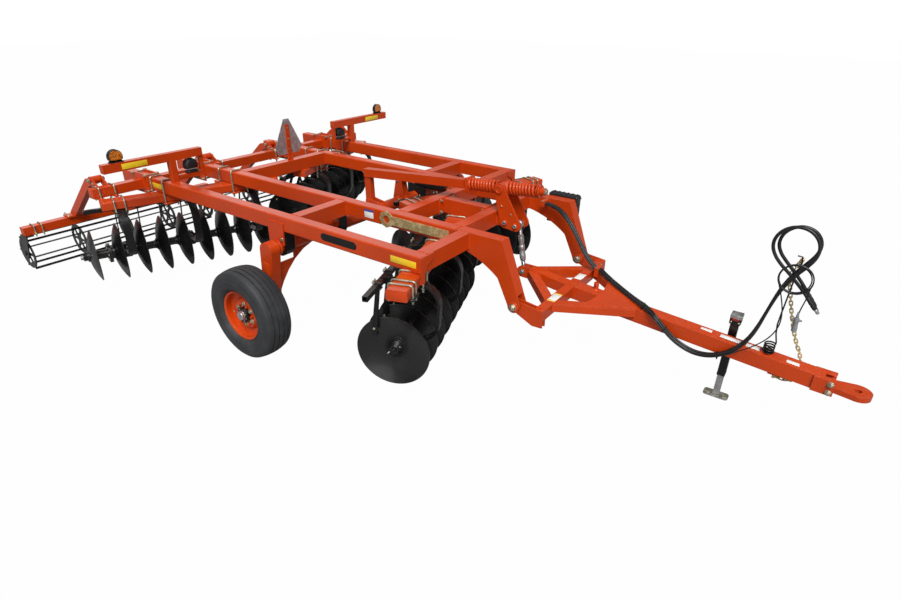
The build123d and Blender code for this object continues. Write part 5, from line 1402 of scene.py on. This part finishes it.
    def centre_flanges(self):
        """Bolted flanges at both ends of the centre tube."""
        piece = Piece("centre_flanges", "orange", "zinc")
        for x, way in ((1303, -1), (847, 1)):
            piece.block(at(x, 0, 1076), (0.012, 0.210, 0.150), bevel=0.002)
            for y in (-84, 84):
                for z in (1128, 1024):
                    piece.bolt(at(x + way * 6, y, z), X_AXIS * way, 0.0140, 1, thread=STUD)
        piece.ride("frame", "orange_paint")

    def manual_box(self):
        """Ribs and lid of the box that holds the papers."""
        piece = Piece("manual_box_ribs", "plastic")
        for index in range(6):
            x = BOX_X - 110 + index * 44
            piece.block(at(x, 729.5, 1015), (0.016, 0.006, 0.200), bevel=0.0025)
            piece.block(at(x, BOX_Y, 1166), (0.016, 0.070, 0.005), bevel=0.002)
        for way in WAYS:
            x = BOX_X + way * 141
            for z in (960, 1020, 1080):
                piece.block(at(x, BOX_Y, z), (0.005, 0.060, 0.016), bevel=0.002)
        piece.block(at(BOX_X, 730, 1132), (0.282, 0.006, 0.014), bevel=0.002)
        piece.block(at(BOX_X, 732, 1122), (0.050, 0.010, 0.030), bevel=0.003)
        piece.ride("frame", "black_plastic")


# ==== tongue fittings =======================================================================
HINGE = (1930, 640)
HITCH_X = 4160
HITCH_Z = 440
TILT = math.radians(4.6)
DOWN_TONGUE = Vector((math.cos(TILT), 0, -math.sin(TILT)))
CROSS_X = 2125                  # middle of the A-frame's cross tube
JACK = (3345, 128)
HOLDER = (3600, 0, 552)
HOLDER_TURNS = 3.5
HOLDER_WIRE = (
    (3632, 0, 636), (3615, 0, 700), (3606, 0, 768), (3609, 0, 860), (3614, 0, 960),
    (3618, 0, 1060), (3624, 0, 1150), (3634, 0, 1225), (3628, 0, 1268), (3600, 0, 1270),
)


def tongue_height(x):
    """Height of the main tube's middle, in millimetres."""
    return HITCH_Z + (HITCH_X - x) * math.tan(TILT)


def cross_height():
    return tongue_height(CROSS_X)


def on_tongue(x, y, rise):
    """A point above the main tube's middle, square to the tube."""
    return at(x + rise * math.sin(TILT), y, tongue_height(x) + rise * math.cos(TILT))


class HARROW_OT_tongue_fittings(bpy.types.Operator):
    """Add the tongue's hinge bolts, web plate, hitch bolts, holder spring and jack."""

    bl_idname = "harrow.tongue_fittings"
    bl_label = "Tongue fittings"

    def execute(self, context):
        self.hinges()
        self.web()
        self.hitch()
        self.holder()
        self.jack()
        return {"FINISHED"}

    def hinges(self):
        piece = Piece("hinge_bolts", "zinc", "orange")
        for side in (RIGHT, LEFT):
            for way in WAYS:
                face = at(HINGE[0], side * INNER_Y + way * TUBE_HALF, HINGE[1])
                piece.lathe(face + Y_AXIS * (way * 0.0006), Y_AXIS * way, [
                    (0, 0.046), (0.005, 0.046), (0.007, 0.043), (0.007, 0.030)], 40, 1)
                piece.bolt(face + Y_AXIS * (way * 0.006), Y_AXIS * way, 0.0260, thread=STUD)
        piece.ride("tongue", "zinc")

    def web(self):
        """Plate across the narrow part of the A-frame, and the stub that parks a hose tip."""
        piece = Piece("tongue_web", "orange", "hose")
        wide = (2335 - CROSS_X) / (2660 - CROSS_X)
        y = 420 - wide * 380
        outline = [(0.0, -y * MM), (0.330, -0.056), (0.345, -0.050), (0.345, 0.050), (0.330, 0.056),
                   (0.0, y * MM), (0.045, 0.0)]
        piece.plate(outline, on_tongue(2330, 0, 53.0), DOWN_TONGUE, Y_AXIS, 0.006)
        foot = at(2312, 35, 640)
        piece.lathe(foot, Z_AXIS, [(0, 0.020), (0.058, 0.020), (0.062, 0.018), (0.062, 0.012),
                                   (0.050, 0.011)], 32)
        piece.lathe(foot - Z_AXIS * 0.002, Z_AXIS, [(0, 0.030), (0.004, 0.028), (0.009, 0.021)], 32)
        piece.rod(foot + Z_AXIS * 0.036 - Y_AXIS * 0.0206, foot + Z_AXIS * 0.036 + Y_AXIS * 0.0206,
                  0.0065, 16, 0.0, 1)
        piece.ride("tongue", "orange_paint")

    def hitch(self):
        piece = Piece("hitch_bolts", "zinc", "orange")
        for rise in (30, -34):
            for way in WAYS:
                spot = at(4003, way * 72, tongue_height(4003) + rise)
                piece.bolt(spot, Y_AXIS * way, 0.0180, thread=0.008)
        for way in WAYS:
            piece.block(at(3990, way * 40, 504), (0.070, 0.040, 0.008), bevel=0.002, finish=1)
            piece.block(at(3961, way * 30, tongue_height(3960)), (0.004, 0.050, 0.096),
                        bevel=0.001, finish=1)
        piece.ride("tongue", "zinc")

    def holder(self):
        """Coil spring at the foot of the hose holder and the bent wire above it."""
        piece = Piece("holder_spring", "black")
        x, y, z = HOLDER
        path = []
        for index in range(71):
            share = index / 70
            angle = 2 * math.pi * HOLDER_TURNS * share
            path.append(at(x - 32 * math.cos(angle), y + 32 * math.sin(angle), z + 7 + 62 * share))
        piece.tube(path, 0.0056, 10)
        piece.tube([path[-1]] + metres(HOLDER_WIRE), 0.0050, 12)
        piece.lathe(at(x, y, z), Z_AXIS, [(0, 0.038), (0.004, 0.038), (0.006, 0.035), (0.006, 0.0)],
                    32)
        thing = piece.ride("tongue", "black_paint")
        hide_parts("hose_holder")

    def jack(self):
        x, y = JACK
        head = Piece("jack_head", "grey_zinc", "red_lens", "zinc", "black")
        head.block(at(x, y, 698), (0.080, 0.080, 0.030), bevel=0.006)
        head.block(at(x, y - 38.4, 676), (0.044, 0.003, 0.016), bevel=0.0005, finish=1)
        for way in WAYS:
            head.bolt(at(x + way * 26, y - 38, 655), -Y_AXIS, 0.0060, 2)
            head.block(at(x, y + way * 30, 640), (0.064, 0.004, 0.010), bevel=0.001, finish=3)
        head.lathe(at(x, y, 196), Z_AXIS, [(0, 0.0400), (0.004, 0.0410), (0.018, 0.0410),
                                           (0.022, 0.0395)], 4, 3, Vector((1, 1, 0)))
        head.ride("jack_body", "zinc")
        seat = Piece("jack_pin", "zinc")
        seat.bolt(at(x, y + 29, 430), Y_AXIS, 0.0160)
        seat.ride("jack_body", "zinc")
        foot = Piece("jack_foot", "zinc")
        foot.lathe(at(x, y, 10), Z_AXIS, [(0, 0.0360), (0.005, 0.0350), (0.010, 0.0322)], 4, 0,
                   Vector((1, 1, 0)))
        for way in WAYS:
            foot.block(at(x + way * 62, y, 12.5), (0.040, 0.060, 0.005), bevel=0.002)
        foot.ride("jack_leg", "zinc")


# ==== lights, sign and labels ===============================================================
LABEL_T = 0.0012
LABEL_EDGE = 0.0003
WARNING_LAMP = (1673, 1468, 58)
TAIL_LAMP = (996, 1266, 66)
SIGN_Y = 78
SIGN_REAR_X = -1308
SIGN_LOW = 1205
SIGN_SHOULDER = 0.070
SIGN_TALL = 0.364


class HARROW_OT_lights(bpy.types.Operator):
    """Make the warning and tail lamps, the sign's rear face and the reflectors."""

    bl_idname = "harrow.lights"
    bl_label = "Lamps and sign"

    def execute(self, context):
        for name, side in SIDES:
            self.warning_lamp(name, side)
            self.tail_lamp(name, side)
        self.sign()
        self.reflectors()
        return {"FINISHED"}

    def arch(self, radius):
        """Outline of a round lamp on a flat foot, across and up from its middle."""
        turns = [math.radians(-28 + 236 * index / 20) for index in range(21)]
        return [(radius * math.cos(turn), radius * math.sin(turn)) for turn in turns]

    def warning_lamp(self, name, side):
        y, z, radius = WARNING_LAMP
        middle = at(LIGHT_X, side * y, z)
        piece = Piece(f"warning_lamp_{name}", "plastic", "amber", "zinc")
        size = radius * MM
        foot = [(size, -0.050), (-size, -0.050)]
        piece.plate(self.arch(size) + foot, middle, Y_AXIS, Z_AXIS, 0.036)
        piece.block(middle - Z_AXIS * 0.045, (0.046, 2 * size, 0.010), bevel=0.002)
        for way in WAYS:
            face = middle + X_AXIS * (way * 0.018)
            piece.plate(self.arch(size - 0.003), face + X_AXIS * (way * 0.002), Y_AXIS, Z_AXIS,
                        0.005, 1)
            for row in range(-4, 5):
                for column in range(-4, 5):
                    a = (column + 0.5 * (row % 2)) * 0.0118
                    b = row * 0.0102 + 0.004
                    if math.hypot(a, b) > size - 0.009 or b < -0.026:
                        continue
                    spot = face + X_AXIS * (way * 0.0040) + Y_AXIS * a + Z_AXIS * b
                    piece.lathe(spot, X_AXIS * way, [(0, 0.0054), (0.0012, 0.0047), (0.0020, 0.0)],
                                6, 1)
            piece.tube([face + Y_AXIS * a + Z_AXIS * b for a, b in self.arch(size)], 0.0032, 10)
        for way in WAYS:
            piece.bolt(middle + Y_AXIS * (way * 0.036) - Z_AXIS * 0.040, Z_AXIS, 0.0052, 2)
        thing = piece.ride("frame", "amber_lens")
        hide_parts("warning_lamps")

    def tail_lamp(self, name, side):
        """Black dome in front, red lens behind."""
        y, z, radius = TAIL_LAMP
        middle = at(LIGHT_X, side * y, z)
        size = radius * MM
        piece = Piece(f"tail_lamp_{name}", "plastic", "red_lens", "zinc")
        corners = [
            middle + X_AXIS * place + Y_AXIS * a + Z_AXIS * b
            for place, share in ((-0.026, 1.0), (0.0, 1.0), (0.018, 0.95), (0.026, 0.82),
                                 (0.030, 0.55))
            for a, b in self.arch(size * share)]
        count = len(corners) // 5
        faces = [tuple(range(count)), tuple(range(4 * count, 5 * count))]
        for ring in range(4):
            for index in range(count):
                after = (index + 1) % count
                faces.append((ring * count + index, ring * count + after,
                              (ring + 1) * count + after, (ring + 1) * count + index))
        piece.faces(corners, faces)
        piece.block(middle - Z_AXIS * 0.0535, (0.052, 2 * size - 0.012, 0.024), bevel=0.003)
        piece.plate(self.arch(size - 0.006), middle - X_AXIS * 0.0275, Y_AXIS, Z_AXIS, 0.005, 1)
        piece.tube([middle - X_AXIS * 0.026 + Y_AXIS * a + Z_AXIS * b for a, b in self.arch(size)],
                   0.0038, 10)
        for way in WAYS:
            piece.bolt(middle + X_AXIS * 0.026 + Y_AXIS * (way * 0.048) - Z_AXIS * 0.0535,
                       X_AXIS, 0.0048, 2, washer=False)
        thing = piece.ride("frame", "black_plastic")
        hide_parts("tail_lamps")

    def sign(self):
        """Triangle of grey sheet with its tips cut off, faced in red and orange at the rear."""
        low = SIGN_LOW * MM
        middle = at(SIGN_REAR_X + 1.5, SIGN_Y, 0)
        sheet = Piece("sign_sheet", "sheet", "sign_border", "sign_orange")
        sheet.plate(self.sign_outline(low, 0.0), middle, Y_AXIS, Z_AXIS, 0.003)
        sheet.plate(self.sign_outline(low, 0.004), middle - X_AXIS * 0.0019, Y_AXIS, Z_AXIS,
                    0.0008, 1)
        sheet.plate(self.sign_outline(low, 0.036), middle - X_AXIS * 0.0026, Y_AXIS, Z_AXIS,
                    0.0008, 2)
        thing = sheet.ride("frame", "sign_face")
        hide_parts("slow_sign")
        piece = Piece("sign_bolts", "zinc", "orange", "hose")
        for height in (1255, 1365, 1475):
            spot = at(-1295, SIGN_Y, height)
            piece.bolt(spot, X_AXIS, 0.0065, 0)
            piece.rod(spot + Z_AXIS * 0.030, spot + Z_AXIS * 0.030 + X_AXIS * 0.0006, 0.0060, 16,
                      0.0, 2)
        for way in WAYS:
            piece.block(at(-1296, SIGN_Y + way * 27, 1162), (0.026, 0.006, 0.044), bevel=0.002,
                        finish=1)
        piece.ride("frame", "zinc")

    def sign_outline(self, low, inset):
        """The sign's six corners, moved inwards; across and up in metres."""
        half = [(0.142 - inset * 0.6, low + inset),
                (0.183 - inset * 1.16, low + SIGN_SHOULDER + inset * 0.1),
                (0.036 - inset * 0.50, low + SIGN_TALL - inset)]
        mirrored = [(-across, up) for across, up in half]
        return [mirrored[0]] + half + mirrored[:0:-1]

    def reflectors(self):
        piece = Piece("reflectors", "reflector")
        for side in (RIGHT, LEFT):
            front = 1375 if side == RIGHT else 695
            for x, length in ((-1668, 0.170), (front, 0.229)):
                piece.block(at(x, side * 1246.8, 1077), (length, 0.0014, 0.048), bevel=0.0004)
            for way in (1, -1):
                piece.block(at(LIGHT_X + way * 30.8, side * 1535, 1378), (0.0014, 0.229, 0.048),
                            bevel=0.0004)
        piece.ride("frame", "amber_lens")


class HARROW_OT_labels(bpy.types.Operator):
    """Lay the blank labels on the rail and the tongue."""

    bl_idname = "harrow.labels"
    bl_label = "Blank labels"

    def execute(self, context):
        frame = Piece("frame_labels", "label", "blank_blue", "black")
        frame.block(at(500, -636.6, 1080), (0.100, LABEL_T, 0.070), bevel=LABEL_EDGE)
        frame.block(at(500, -636.9, 1107), (0.100, LABEL_T, 0.018), bevel=LABEL_EDGE, finish=1)
        middle = at(750, -1246.6, 1080)
        plaque = []
        for index in range(24):
            turn = math.radians(15 * (index + 0.5))
            plaque.append((math.copysign(0.150, math.cos(turn)) + 0.036 * math.cos(turn),
                           0.030 * math.sin(turn)))
        frame.plate(plaque, middle, X_AXIS, Z_AXIS, LABEL_T, 2)
        frame.ride("frame", "black_plastic")
        tongue = Piece("tongue_labels", "label", "reflector", "red_lens")
        level = (Y_AXIS, X_AXIS, Z_AXIS)
        cross_top = cross_height() + 54.6
        tongue.block(at(CROSS_X, -330, cross_top), (0.150, 0.064, LABEL_T), level, LABEL_EDGE)
        for way in WAYS:
            tongue.block(at(CROSS_X, -330 + way * 64, cross_top + 0.3),
                         (0.020, 0.064, LABEL_T), level, LABEL_EDGE, 1)
        tongue.block(at(CROSS_X, 150, cross_top), (0.120, 0.064, LABEL_T), level, LABEL_EDGE)
        axes = (DOWN_TONGUE, Y_AXIS, DOWN_TONGUE.cross(Y_AXIS))
        for x, long, y, wide in ((3180, 0.080, 20, 0.034), (3360, 0.160, 5, 0.060),
                                 (3500, 0.090, 12, 0.050), (3760, 0.080, -10, 0.040)):
            tongue.block(on_tongue(x, y, 54.6), (long, wide, LABEL_T), axes, LABEL_EDGE)
        tongue.block(on_tongue(3360, -20, 55.0), (0.160, 0.010, LABEL_T), axes, LABEL_EDGE, 2)
        tongue.ride("tongue", "grey_plastic")
        return {"FINISHED"}


# ==== panel and main ========================================================================
OPERATORS = (HARROW_OT_stage, HARROW_OT_finishes, HARROW_OT_hoses, HARROW_OT_wheels,
             HARROW_OT_levelling, HARROW_OT_gangs, HARROW_OT_frame_fittings, HARROW_OT_lights,
             HARROW_OT_tongue_fittings, HARROW_OT_labels)


class HARROW_PT_panel(bpy.types.Panel):
    """Lists the harrow's steps in the sidebar."""

    bl_label = "Harrow"
    bl_space_type = "VIEW_3D"
    bl_region_type = "UI"
    bl_category = "Harrow"

    def draw(self, context):
        for operator in OPERATORS:
            self.layout.operator(operator.bl_idname)


CLASSES = (HarrowColours, HarrowSizes, *OPERATORS, HARROW_PT_panel)


def register():
    for kind in CLASSES:
        bpy.utils.register_class(kind)
    bpy.types.Scene.harrow_colours = bpy.props.PointerProperty(type=HarrowColours)
    bpy.types.Scene.harrow_sizes = bpy.props.PointerProperty(type=HarrowSizes)


def unregister():
    del bpy.types.Scene.harrow_sizes
    del bpy.types.Scene.harrow_colours
    for kind in reversed(CLASSES):
        bpy.utils.unregister_class(kind)


def main():
    register()
    for operator in OPERATORS:
        group, name = operator.bl_idname.split(".")
        getattr(getattr(bpy.ops, group), name)()


if __name__ == "__main__":
    main()
